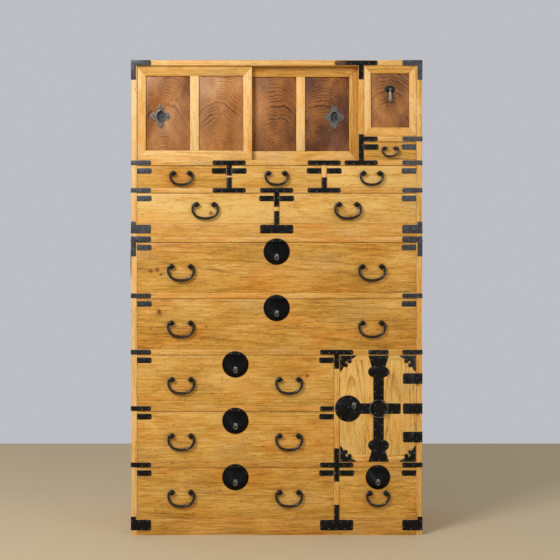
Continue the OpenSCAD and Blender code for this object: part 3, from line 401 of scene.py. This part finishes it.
def grown_from(seeds):
    """Every vertex joined to the seeds by edges."""
    seen, stack = set(seeds), list(seeds)
    while stack:
        vert = stack.pop()
        for edge in vert.link_edges:
            other = edge.other_vert(vert)
            if other not in seen:
                seen.add(other)
                stack.append(other)
    return list(seen)


def solids_of(bm):
    """Lists of the vertices that hang together, one list a solid."""
    placed, found = set(), []
    for start in bm.verts:
        if start not in placed:
            solid = grown_from([start])
            placed.update(solid)
            found.append(solid)
    return found


def box_of(verts):
    """Lowest and highest corner of some vertices."""
    low = Vector([min(v.co[i] for v in verts) for i in range(3)])
    high = Vector([max(v.co[i] for v in verts) for i in range(3)])
    return low, high


def is_lock(low, high):
    """Whether a solid is a drawer's round lock plate with its boss."""
    return 70 * MM < high.x - low.x < 90 * MM and high.z - low.z > 60 * MM and high.y - low.y < 4 * MM


def merged_copy(node):
    """The node's solids as one clean bmesh. Round lock plates are left as they were cut."""
    bm = bmesh.new()
    bm.from_mesh(NODES[node].data)
    bmesh.ops.remove_doubles(bm, verts=bm.verts, dist=SAME_PLACE)
    # a lock plate's face joined up round its keyhole would show a streak of light
    as_cut = bm.verts.layers.int.new("as_cut")
    for solid in solids_of(bm):
        kept = is_lock(*box_of(solid))
        for vert in solid:
            vert[as_cut] = kept
    verts = [vert for vert in bm.verts if not vert[as_cut]]
    edges = [edge for edge in bm.edges if not edge.verts[0][as_cut]]
    bmesh.ops.dissolve_limit(bm, angle_limit=FLAT_ANGLE, verts=verts, edges=edges)
    return bm


def break_edges(bm, width):
    """Bevels every sharp convex edge of a merged copy, and marks the middle of each bevel."""
    seam = bm.verts.layers.float.new("seam")
    as_cut = bm.verts.layers.int["as_cut"]
    sharp = [edge for edge in bm.edges if edge.is_manifold and not edge.verts[0][as_cut]
             and edge.calc_face_angle_signed(0) > SHARP_ANGLE]
    made = bmesh.ops.bevel(bm, geom=sharp, offset=width, offset_type="OFFSET", segments=2, profile=0.5,
                           affect="EDGES", clamp_overlap=True, material=-1)
    # a rebuilt plate also counts as made, but it is far wider than a strip
    strips = {face for face in made["faces"] if face.calc_area() < width * face.calc_perimeter()}
    for vert in made["verts"]:
        vert[seam] = float(all(face in strips for face in vert.link_faces))
    bm.verts.layers.int.remove(as_cut)


print("lock plates stay as cut, and other edges sharper than 35 degrees are broken")

# %% [markdown]
# A finished mesh rides on its node's body, so it moves with it, and takes the node's place in the
# view. Its rounded parts shade smoothly, up to an angle.

# %% From a bmesh to a piece of the chest
# Faces larger than this are flat plates and boards. They keep their own normal, so that the bent
# normals of their rims don't run across them.
FLAT_AREA = 60 * MM ** 2


def finish_piece(bm, node, name, materials, smooth=40):
    """Turns a bmesh into an object that rides on the node's body and takes the node's place."""
    mesh = bpy.data.meshes.new(name)
    bm.to_mesh(mesh)
    bm.free()
    for material in materials:
        mesh.materials.append(material)
    for polygon in mesh.polygons:
        polygon.use_smooth = polygon.area < FLAT_AREA
    mesh.set_sharp_from_angle(angle=math.radians(smooth))
    piece = bpy.data.objects.new(name, mesh)
    bpy.context.scene.collection.objects.link(piece)
    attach(piece, BODY_OF[node])
    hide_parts(node)


print(f"faces over {FLAT_AREA / MM ** 2:.0f} square millimetres shade flat")

# %% [markdown]
# ## Boards
# Each board gets its own place in a trunk. The length of a board runs along the fibres, its
# width across them and its thickness towards the bark. How far the pith lies from the board,
# and how much the board leans against it, decides between straight lines and arches.

# %% Give every board its grain
def seed_of(name, number):
    """A whole number that stays the same from run to run."""
    return sum(ord(c) * (i + 1) for i, c in enumerate(name)) * 31 + number


def grow(bm, name, pith_across, pith_deep, lean, shades, upright):
    """Writes grain, place, half and tone on the vertices, board by board."""
    grain = bm.verts.layers.float_vector.new("grain")
    place = bm.verts.layers.float_vector.new("place")
    half = bm.verts.layers.float_vector.new("half")
    tone = bm.verts.layers.float.new("tone")
    for number, board in enumerate(solids_of(bm)):
        dice = random.Random(seed_of(name, number))
        low, high = box_of(board)
        size = high - low
        order = sorted(range(3), key=lambda i: -size[i])
        if upright and order[2] == 0:
            order = [2, 1, 0]
        middle = (low + high) / 2
        slope = dice.uniform(*lean)
        start = Vector((dice.uniform(-9, 9), dice.uniform(*pith_across), dice.uniform(*pith_deep)))
        shade = dice.uniform(*shades(order[0] == 2, middle))
        for vert in board:
            away = vert.co - middle
            along = Vector([away[i] for i in order])
            vert[place] = away
            vert[half] = size / 2
            vert[tone] = shade
            vert[grain] = start + along + Vector((0, 0, slope * along.x))


def wooden(node, material, shades, upright=False, pith_across=(-0.12, 0.12), pith_deep=(0.08, 0.25),
           lean=(-0.04, 0.04), edge=0.7):
    """Replaces a wooden CAD node by its boards with broken edges and grain."""
    bm = merged_copy(node)
    boards = len(solids_of(bm))
    break_edges(bm, edge * MM)
    grow(bm, node, pith_across, pith_deep, lean, shades, upright)
    finish_piece(bm, node, node + "_boards", [material], smooth=30)
    return boards


print("the first board of the lower case grows from seed", seed_of("lower_case", 0))

# %% [markdown]
# No two boards have quite the same colour. Upright boards of the case are painted paler than level ones, and the
# left ones paler still, as painted light, and the level ones are painted deeper towards the floor, as painted
# shade. Each drawer front keeps a depth of its own. Two fronts were cut near the pith, so they show arches.

# %% Choose the depth of every board
def case_shades(is_upright, middle):
    """Range of depths for a board of the cases, from 0, pale, to 1, deep."""
    if is_upright:
        # painted light: uprights are paler than level boards, the left ones most, and paler further up
        deep = 0.5 - 0.25 * (middle.x < 0) - 0.12 * middle.z
    else:
        # painted shade: level boards are deeper towards the floor
        deep = 0.7 - 0.27 * middle.z
    return (deep - 0.06, deep + 0.06)


def door_shades(is_upright, middle):
    """The same for the frames of the doors. Their upper rails are deeper, and one stile beside the divider is
    painted deep, as painted shade.
    """
    if is_upright:
        # painted shade: the stile beside the divider
        return (0.5, 0.65) if 0.22 < middle.x < 0.28 else (0.05, 0.3)
    return (0.45, 0.6) if middle.z > 1.4 else (0.2, 0.35)


def panel_shades(is_upright, middle):
    """The same for the figured panels, from left to right."""
    places = (-0.3, -0.1, 0.1, 0.28)
    deep = (0.52, 0.32, 0.58, 0.86, 0.58)[sum(middle.x > place for place in places)]
    return (deep, deep + 0.02)


def even_shades(depth, spread=0.08):
    """The same depth for all the boards of a piece, give or take the spread."""
    return lambda is_upright, middle: (depth - spread, depth + spread)


FRONT_DEPTH = {"wide_drawer_top": 0.45, "wide_drawer_bottom": 0.45, "left_drawer_top": 0.38,
               "left_drawer_middle": 0.24, "left_drawer_bottom": 0.52, "corner_drawer": 0.48,
               "half_drawer_left": 0.06, "half_drawer_right": 0.14, "third_drawer_left": 0.52,
               "third_drawer_middle": 0.3, "third_drawer_right": 0.0, "small_drawer": 0.56}
PANELS = ("left_sliding_door_panels", "right_sliding_door_panels", "lift_out_door_panel")
DRAWERS = sorted(FRONT_DEPTH)

made = {node: wooden(node, WAXED_CASE, case_shades, upright=True)
        for node in ("lower_case", "upper_case")}
for node, depth in FRONT_DEPTH.items():
    pith_deep = (0.03, 0.05) if node in ("left_drawer_middle", "corner_drawer") else (0.08, 0.25)
    made[node] = wooden(node, WAXED_FRONTS, even_shades(depth), pith_deep=pith_deep)
made["safe_door"] = wooden("safe_door", STRIPED_DOOR, even_shades(0.15, 0.1),
                           pith_across=(-0.05, 0.05), pith_deep=(0.03, 0.05), lean=(0.05, 0.09))
for door in ("left_sliding_door", "right_sliding_door", "lift_out_door"):
    made[door] = wooden(door + "_frame", WAXED_CASE, door_shades, edge=0.6)
for node in PANELS:
    made[node] = wooden(node, FIGURED_PANEL, panel_shades, pith_across=(-0.03, 0.03),
                        pith_deep=(0.11, 0.13), lean=(0.36, 0.42), edge=0.3)
print("boards:", made)

# %% [markdown]
# ## Turned and drawn iron
# A ball, a dome or a nail's head is a profile turned round an axis. A bail is a bar drawn along a
# path: one circle a station, set square to the path, and each bridged to the next.

# %% Lathe and bar helpers
FORWARD = Matrix.Rotation(math.radians(90), 4, "X")


def turned(bm, profile, place, steps, turn=FORWARD):
    """Spins a profile of (radius, height) points round its axis, which points forward."""
    profile_verts = [bm.verts.new((r, 0, h)) for r, h in profile]
    profile_edges = [bm.edges.new(pair) for pair in zip(profile_verts, profile_verts[1:])]
    bmesh.ops.spin(bm, geom=profile_verts + profile_edges, cent=(0, 0, 0), axis=(0, 0, 1),
                   angle=2 * math.pi, steps=steps, use_merge=True)
    grown = grown_from(profile_verts)
    bmesh.ops.remove_doubles(bm, verts=grown, dist=1e-6)
    grown = [v for v in grown if v.is_valid]
    bmesh.ops.transform(bm, matrix=Matrix.Translation(place) @ turn, verts=grown)
    faces = list({f for v in grown for f in v.link_faces})
    bmesh.ops.recalc_face_normals(bm, faces=faces)
    return faces


def bar(bm, path, radii, sides):
    """A round bar along a path in the XZ plane, closed by a flat disc at each end."""
    forward = Vector((0, 1, 0))
    stations = []
    for i, (point, radius) in enumerate(zip(path, radii)):
        along = (path[min(i + 1, len(path) - 1)] - path[max(i - 1, 0)]).normalized()
        side = along.cross(forward).normalized()
        square = Matrix((side, forward, along)).transposed().to_4x4()
        ring = bmesh.ops.create_circle(bm, segments=sides, radius=radius,
                                       matrix=Matrix.Translation(point) @ square)
        stations.append(ring["verts"])
    hoops = [list({edge for vert in ring for edge in vert.link_edges}) for ring in stations]
    for first, second in zip(hoops, hoops[1:]):
        bmesh.ops.bridge_loops(bm, edges=first + second)
    for ring in (stations[0], stations[-1]):
        bmesh.ops.contextual_create(bm, geom=ring)
    bmesh.ops.recalc_face_normals(bm, faces=bm.faces)


def arc(cx, cz, radius, start, end, steps):
    """Points of an arc in the XZ plane, angles in radians."""
    turn = (end - start) / steps
    return [Vector((cx + radius * math.cos(start + i * turn), 0, cz + radius * math.sin(start + i * turn)))
            for i in range(steps + 1)]


print("a quarter arc of 1 m ends at", arc(0, 0, 1, 0, math.pi / 2, 4)[-1])

# %% [markdown]
# ## Bails
# A bail is a bar forged thickest in the middle, bent to a wide curve, with its ends turned back
# into ball-headed posts. Its size comes from its own solid, and its pivot from its hinge.

# %% Forge the bails
# millimetres between the two posts of a bail, by the first word of its name
POST_SPACING = {"wide": 62, "left": 62, "half": 57, "third": 53, "corner": 53, "small": 36}
BAILS = sorted(n for n in NODES if n.endswith("_bail"))
# the solid's elbow is a ball this much thicker than its bar
OVERSIZE = 1.08
# radius of a bail's lowest arc, as a multiple of its drop
SPREAD = 1.45
# a bail that drops further than this share of its half width has long legs and these tight corners
TALL = 1.2
TALL_CORNER = 0.44
LEAST_LEG = 3 * MM
# half the width of a post's eye, and how far a bail's thin end runs on beyond the post's middle
HALF_EYE = 3 * MM
TAIL = 11 * MM
# a bail's radius beside its elbows, as a share of its solid's
THIN = 0.88


def post_of(bail):
    """Distance in metres of a bail's posts from its middle."""
    return POST_SPACING[bail.split("_")[0]] / 2 * MM


def tight_arc(half_width, drop, turn_in, leg):
    """Radius of the tight arcs beside the lowest arc, from the quadratic that makes them meet."""
    wide = SPREAD * drop
    k2 = (wide - half_width + turn_in) / turn_in
    k1 = 2 * (wide - drop)
    k0 = half_width ** 2 + (wide - drop) ** 2 - wide ** 2 - leg ** 2 - turn_in ** 2 + k2 * turn_in ** 2
    dz = (math.sqrt(k1 ** 2 - 4 * k2 * k0) - k1) / (2 * k2)
    return (dz ** 2 + turn_in ** 2) / (2 * turn_in)


def half_bail(half_width, drop, elbow):
    """The middle line of a bail from its lowest point to the right elbow."""
    tall = drop > TALL * half_width
    corner = TALL_CORNER * drop if tall else tight_arc(half_width, drop, half_width - elbow, LEAST_LEG)
    dx = elbow - half_width + corner
    dz = math.sqrt(corner ** 2 - dx ** 2)
    leg = max(drop - half_width - dz, LEAST_LEG) if tall else LEAST_LEG
    high = (half_width - corner) ** 2 + dz ** 2 - (drop - corner) ** 2 - leg ** 2
    high /= 2 * (drop - corner - dz)
    wide = high + drop
    meet = math.atan2(-dz - high, half_width - corner) - math.atan2(leg, wide - corner)
    path = arc(0, high, wide, -math.pi / 2, meet, 10)
    path += arc(half_width - corner, -dz, corner, meet, math.atan2(dz, dx), 14)
    return path


def forged_bail(node, post, swell=0.17, turn=None):
    """A bar along the bail's middle line, thick below and thin at its turned-in ends."""
    low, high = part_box(node)
    pivot = PIVOT[BODY_OF[node]]
    across, deep = (0, 1) if turn is None else (1, 0)
    radius = (high[deep] - low[deep]) / 2 / OVERSIZE
    half_width = (high[across] - low[across]) / 2 - radius
    # the elbow stands clear of the eye by half a millimetre
    elbow = post + HALF_EYE + 1.2 * radius + 0.5 * MM
    right = half_bail(half_width, pivot.z - low.z - radius, elbow)
    right += [Vector((post + HALF_EYE, 0, 1.5 * MM)), Vector((post - 2 * MM, 0, 0)),
              Vector((post - TAIL, 0, -0.5 * MM))]
    path = [Vector((-p.x, 0, p.z)) for p in right[:0:-1]] + right
    last = len(path) - 1
    radii = [radius * (THIN + swell * math.sin(math.pi * i / last)) for i in range(last + 1)]
    radii[0] = radii[last] = 0.5 * radius
    bm = bmesh.new()
    bar(bm, path, radii, sides=14)
    middle = (low + high) / 2
    middle[deep] = pivot[deep]
    middle.z = pivot.z
    place = Matrix.Translation(middle)
    bmesh.ops.transform(bm, verts=bm.verts, matrix=place if turn is None else place @ turn)
    finish_piece(bm, node, node + "_bar", [BLACK_BAR], smooth=60)


for node in BAILS:
    forged_bail(node, post_of(node))
SIDEWAYS = Matrix.Rotation(math.radians(90), 4, "Z")
HANDLE_POST = 50 * MM
for node in ("left_carrying_handle", "right_carrying_handle"):
    forged_bail(node, HANDLE_POST, swell=0.12, turn=SIDEWAYS)
print(len(BAILS), "bails and two carrying handles")

# %% [markdown]
# ## Plates, nails and posts
# Every strap is nailed down with small domed nails, close to its edge. The script finds their
# places by probing each plate from the front: a nail sits where there is iron 5 mm round it, but
# not 10 mm round it, and no two sit closer than a nail's spacing. A round lock plate hangs on the
# lock behind it and needs no nails. It gets a raised boss over its keyhole instead.

# %% Find the places of the nails
NAIL_STEP = 2 * MM
NAIL_SPACING = 24 * MM
# a nail has iron all round it at the first distance, and not all round at the second
NAIL_INSET = 5 * MM
NAIL_REACH = 10 * MM
# a plate narrower than the first has no nails, nor has a wrapped end shorter than the second
NARROWEST = 12 * MM
SHORTEST_WRAP = 20 * MM
# eight directions round a nail, as shares of a distance
ROUND_ABOUT = [(1, 0), (0, 1), (-1, 0), (0, -1), (0.7, 0.7), (-0.7, 0.7), (0.7, -0.7), (-0.7, -0.7)]
IRON_T = 1.5 * MM
CASE_HALF_WIDTH = 0.475
SIDE_FACE = CASE_HALF_WIDTH + IRON_T
# a probe starts this far off a plate, and goes this far
PROBE_START = 20 * MM
PROBE_LENGTH = 30 * MM


def nail_places(surface, low, high, depth_axis, face, inwards):
    """Places on one plate. depth_axis is 1 for a front and 0 for a side."""
    u_axis = 1 - depth_axis
    columns = int((high[u_axis] - low[u_axis]) / NAIL_STEP)
    rows = int((high.z - low.z) / NAIL_STEP)
    direction = Vector((0, 0, 0))
    direction[depth_axis] = inwards

    def is_plate(i, j):
        if not (0 <= i <= columns and 0 <= j <= rows):
            return False
        origin = Vector((0, 0, low.z + j * NAIL_STEP))
        origin[u_axis] = low[u_axis] + i * NAIL_STEP
        origin[depth_axis] = face - inwards * PROBE_START
        hit = surface.ray_cast(origin, direction, PROBE_LENGTH)[0]
        return hit is not None and abs(hit[depth_axis] - face) < 0.2 * MM

    solid = {(i, j): is_plate(i, j) for i in range(columns + 1) for j in range(rows + 1)}

    def all_round(i, j, reach):
        cells = reach / NAIL_STEP
        return all(solid.get((i + round(a * cells), j + round(b * cells)), False) for a, b in ROUND_ABOUT)

    middle = columns / 2
    cells = sorted((c for c in solid if solid[c]), key=lambda c: (-abs(c[0] - middle), c[1], c[0]))
    chosen = []
    for i, j in cells:
        if not all_round(i, j, NAIL_INSET) or all_round(i, j, NAIL_REACH):
            continue
        point = Vector((0, 0, low.z + j * NAIL_STEP))
        point[u_axis] = low[u_axis] + i * NAIL_STEP
        point[depth_axis] = face
        if all((point - other).length > NAIL_SPACING for other in chosen):
            chosen.append(point)
    return chosen


print("eight directions are probed round each place:", ROUND_ABOUT)

# %% [markdown]
# A nail's head is a low dome. Straps that wrap round a corner are nailed on the side as well, so
# each nail is turned to look out of the face that it sits on.

# %% Drive the nails
NAIL_PROFILE = [(2.6 * MM, 0), (2.2 * MM, 0.7 * MM), (1.2 * MM, 1.2 * MM), (0, 1.4 * MM)]
LEFTWARD = Matrix.Rotation(math.radians(-90), 4, "Y")
RIGHTWARD = Matrix.Rotation(math.radians(90), 4, "Y")


def coat(bm, faces, material_index, depth):
    """Gives faces one of the piece's materials, and their vertices a tone from 0, black, to 1, bright."""
    tone = bm.verts.layers.float["tone"]
    for face in faces:
        face.material_index = material_index
        for vert in face.verts:
            vert[tone] = depth


def drive_nails(bm, surface, plates, face):
    """Sets a domed nail, of the second material, on every place on the front and on both sides."""
    count = 0
    for low, high in plates:
        if is_lock(low, high):
            continue
        size = high - low
        places = []
        if size.x > NARROWEST and low.y < face + MM < high.y + 3 * MM:
            places += [(p, FORWARD) for p in nail_places(surface, low, high, 1, face, 1)]
        if size.y > SHORTEST_WRAP and low.x < 0.5 * MM - SIDE_FACE:
            places += [(p, LEFTWARD) for p in nail_places(surface, low, high, 0, -SIDE_FACE, 1)]
        if size.y > SHORTEST_WRAP and high.x > SIDE_FACE - 0.5 * MM:
            places += [(p, RIGHTWARD) for p in nail_places(surface, low, high, 0, SIDE_FACE, -1)]
        for point, turn in places:
            coat(bm, turned(bm, NAIL_PROFILE, point, steps=8, turn=turn), 1, 0.15)
        count += len(places)
    return count


print(f"two nails of a plate are over {NAIL_SPACING / MM:.0f} mm apart")

# %% [markdown]
# A post ends in a ball head, a little flattened. The plates near the upper corners of the case are
# painted blue-grey, as a painted reflection, and those below and round the safe stay black.

# %% Ball heads, painted reflection and key bosses
# the drawers' fronts lie 1 mm behind the case's front, and the safe's door 0.3 mm before it
CASE_FACE = FRONT_Y - IRON_T
DRAWER_FACE = FRONT_Y + 1 * MM - IRON_T
SAFE_FACE = FRONT_Y - 0.3 * MM - IRON_T
# x and z of the keyhole in the safe door's lock plate
SAFE_KEY = (0.2518, 0.4198)
BOSS_PROFILE = [(2.9 * MM, -1 * MM), (3.2 * MM, 1.4 * MM), (5.2 * MM, 2.5 * MM), (7.3 * MM, 1.9 * MM),
                (8.6 * MM, 0), (8.6 * MM, -1 * MM), (2.9 * MM, -1 * MM)]
# painted shade: a black disc set into the keyhole, where the hole lies in shade
PLUG_PROFILE = [(0, -0.5 * MM), (3.4 * MM, -0.5 * MM), (3.4 * MM, 0.5 * MM), (0, 0.5 * MM)]


def ball(bm, centre, radius, flat=0.68):
    """A forged ball head, flattened towards the front."""
    steps = 10
    profile = [(radius * math.sin(math.pi * i / steps), -flat * radius * math.cos(math.pi * i / steps))
               for i in range(steps + 1)]
    return turned(bm, profile, centre, steps=20)


def rise(value, start, end):
    """0 below start, 1 above end, and even between them."""
    return min(1.0, max(0.0, (value - start) / (end - start)))


def paint_grey_sheen(bm, name):
    """Writes on each plate how grey it is painted, as painted reflection: more so towards the sides and the top.
    """
    tone = bm.verts.layers.float.new("tone")
    for number, plate in enumerate(solids_of(bm)):
        low, high = box_of(plate)
        middle = (low + high) / 2
        dice = random.Random(seed_of(name, number))
        # painted reflection: plates towards the upper sides are painted blue-grey
        sheen_share = 0.46 * rise(abs(middle.x), 0.3, 0.43) * rise(middle.z, 0.35, 1.1)
        for vert in plate:
            vert[tone] = sheen_share - dice.uniform(0, 0.1)


def key_boss(bm, point):
    """A domed ring round a keyhole with a leaf over it painted bright as a highlight, and a black disc in the hole
    as painted shade.
    """
    coat(bm, turned(bm, BOSS_PROFILE, point, steps=24), 2, 0.1)
    # painted highlight: the leaf is coated brighter than the ring
    coat(bm, ball(bm, point + Vector((1 * MM, 0, 8 * MM)), 6.5 * MM, flat=0.4), 2, 0.4)
    # painted shade: the black disc inside the keyhole
    turned(bm, PLUG_PROFILE, point + Vector((0, 4 * MM, 0)), steps=16)


print("a key boss is", round(2 * BOSS_PROFILE[4][0] / MM, 1), "mm wide")

# %% [markdown]
# Each drawer's iron is one piece: corner straps, washers and lock plate, with the nails and the
# balls on the posts of its own bails. The iron of the cases and of the safe's door is made alike.

# %% Dress the ironwork
def ball_radius(bail):
    """Radius of the ball heads of a bail's posts: a longer bail has larger ones, up to a limit."""
    return min(8.5 * MM, 0.27 * post_of(bail) + 1 * MM)


def ironwork(node, face):
    """Plates with broken edges, their nails and the ball heads of the posts."""
    bm = merged_copy(node)
    surface_tree = BVHTree.FromBMesh(bm)
    plates = [box_of(solid) for solid in solids_of(bm)]
    break_edges(bm, 0.4 * MM)
    paint_grey_sheen(bm, node)
    nails = drive_nails(bm, surface_tree, plates, face)
    for low, high in plates:
        if is_lock(low, high):
            radius = (high.x - low.x) / 2
            key_boss(bm, Vector(((low.x + high.x) / 2, low.y, low.z + radius / 2)))
    if node == "safe_door_ironwork":
        key_boss(bm, Vector((SAFE_KEY[0], face - 1.5 * MM, SAFE_KEY[1])))
    for bail in BAILS:
        if bail.startswith(node[:-len("_ironwork")] + "_"):
            for side in (-1, 1):
                offset = Vector((side * post_of(bail), 0.3 * MM, 0))
                ball(bm, PIVOT[BODY_OF[bail]] + offset, ball_radius(bail))
    finish_piece(bm, node, node.replace("ironwork", "iron"), [BLACK_PLATE, NAIL_HEAD, KEY_BOSS])
    return nails


nails = {"lower_case": ironwork("lower_case_ironwork", CASE_FACE),
         "upper_case": ironwork("upper_case_ironwork", CASE_FACE),
         "safe_door": ironwork("safe_door_ironwork", SAFE_FACE)}
for drawer in DRAWERS:
    nails[drawer] = ironwork(drawer + "_ironwork", DRAWER_FACE)
print("nails:", nails)

# %% [markdown]
# The doors' own fittings need no nails. A pull's face is rubbed bright, and the bottom of its cup
# is painted dark as shade in the cup, as is every part of a fitting set deep behind its front. The drop and the
# ring are worn where fingers lift them.

# %% Give the doors' fittings their iron
# painted shade: iron further than this behind a fitting's front is coated dark
DEEP_IN_CUP = 5 * MM
FITTINGS = (("left_sliding_door_pull", RUBBED_PULL, 0.3), ("right_sliding_door_pull", RUBBED_PULL, 0.3),
            ("lift_out_door_plate", BLACK_PLATE, 0.35), ("lift_out_door_drop", RUBBED_BAR, 0.5),
            ("safe_door_ring", RUBBED_BAR, 0.25))
for node, material, depth in FITTINGS:
    bm = merged_copy(node)
    break_edges(bm, 0.4 * MM)
    tone = bm.verts.layers.float.new("tone")
    front = min(vert.co.y for vert in bm.verts)
    for vert in bm.verts:
        # painted shade: deep iron gets the dark tone
        vert[tone] = depth if vert.co.y < front + DEEP_IN_CUP else 0.1
    finish_piece(bm, node, node + "_iron", [material])
print("fittings:", [node for node, material, depth in FITTINGS])

# %% [markdown]
# ## Floor and light
# A pale floor holds the chest's shadow. The wall of the photograph is only a colour, so the world
# shows it to the camera while it lights the chest with plain white. One broad lamp from the upper
# left gives the soft shadow beside the sliding door, and a weak one from the right opens it.

# %% Light the chest
FLOOR_FAR_Y = 1.8
FLOOR_HALF = (9, 6)
paint, tree, shader = new_material("pale_floor")
shader.inputs["Base Color"].default_value = colour("#c9b897")
shader.inputs["Roughness"].default_value = 0.8
floor_bm = bmesh.new()
bmesh.ops.create_grid(floor_bm, x_segments=1, y_segments=1, size=1.0)
bmesh.ops.transform(floor_bm, verts=floor_bm.verts,
                    matrix=Matrix.Translation((0, FLOOR_FAR_Y - FLOOR_HALF[1], 0))
                    @ Matrix.Diagonal((*FLOOR_HALF, 1, 1)))
floor_mesh = bpy.data.meshes.new("floor")
floor_bm.to_mesh(floor_mesh)
floor_bm.free()
floor_mesh.materials.append(paint)
floor = bpy.data.objects.new("floor", floor_mesh)
bpy.context.scene.collection.objects.link(floor)

world = bpy.data.worlds.new("studio")
bpy.context.scene.world = world
world.use_nodes = True
tree = world.node_tree
daylight = next(n for n in tree.nodes if n.type == "BACKGROUND")
daylight.inputs[0].default_value = colour("#ffffff")
daylight.inputs[1].default_value = 0.45
wall = add(tree, "Background", (colour("#bcbec3"), 1.0))
to_camera = add(tree, "LightPath", out="Is Camera Ray")
chosen = add(tree, "MixShader", (to_camera, daylight.outputs[0], wall))
output = next(n for n in tree.nodes if n.type == "OUTPUT_WORLD")
tree.links.new(chosen, output.inputs[0])


def lamp(name, place, target, size, power):
    """A square lamp that points at the target."""
    data = bpy.data.lights.new(name, "AREA")
    data.size = size
    data.energy = power
    lamp_object = bpy.data.objects.new(name, data)
    lamp_object.location = place
    lamp_object.rotation_euler = (Vector(target) - Vector(place)).to_track_quat("-Z", "Y").to_euler()
    bpy.context.scene.collection.objects.link(lamp_object)


lamp("key", place=(-2.1, -3.0, 3.1), target=(0, 0, 0.9), size=1.3, power=112)
lamp("fill", place=(3.0, -3.4, 1.9), target=(0, 0, 0.9), size=2.0, power=36)
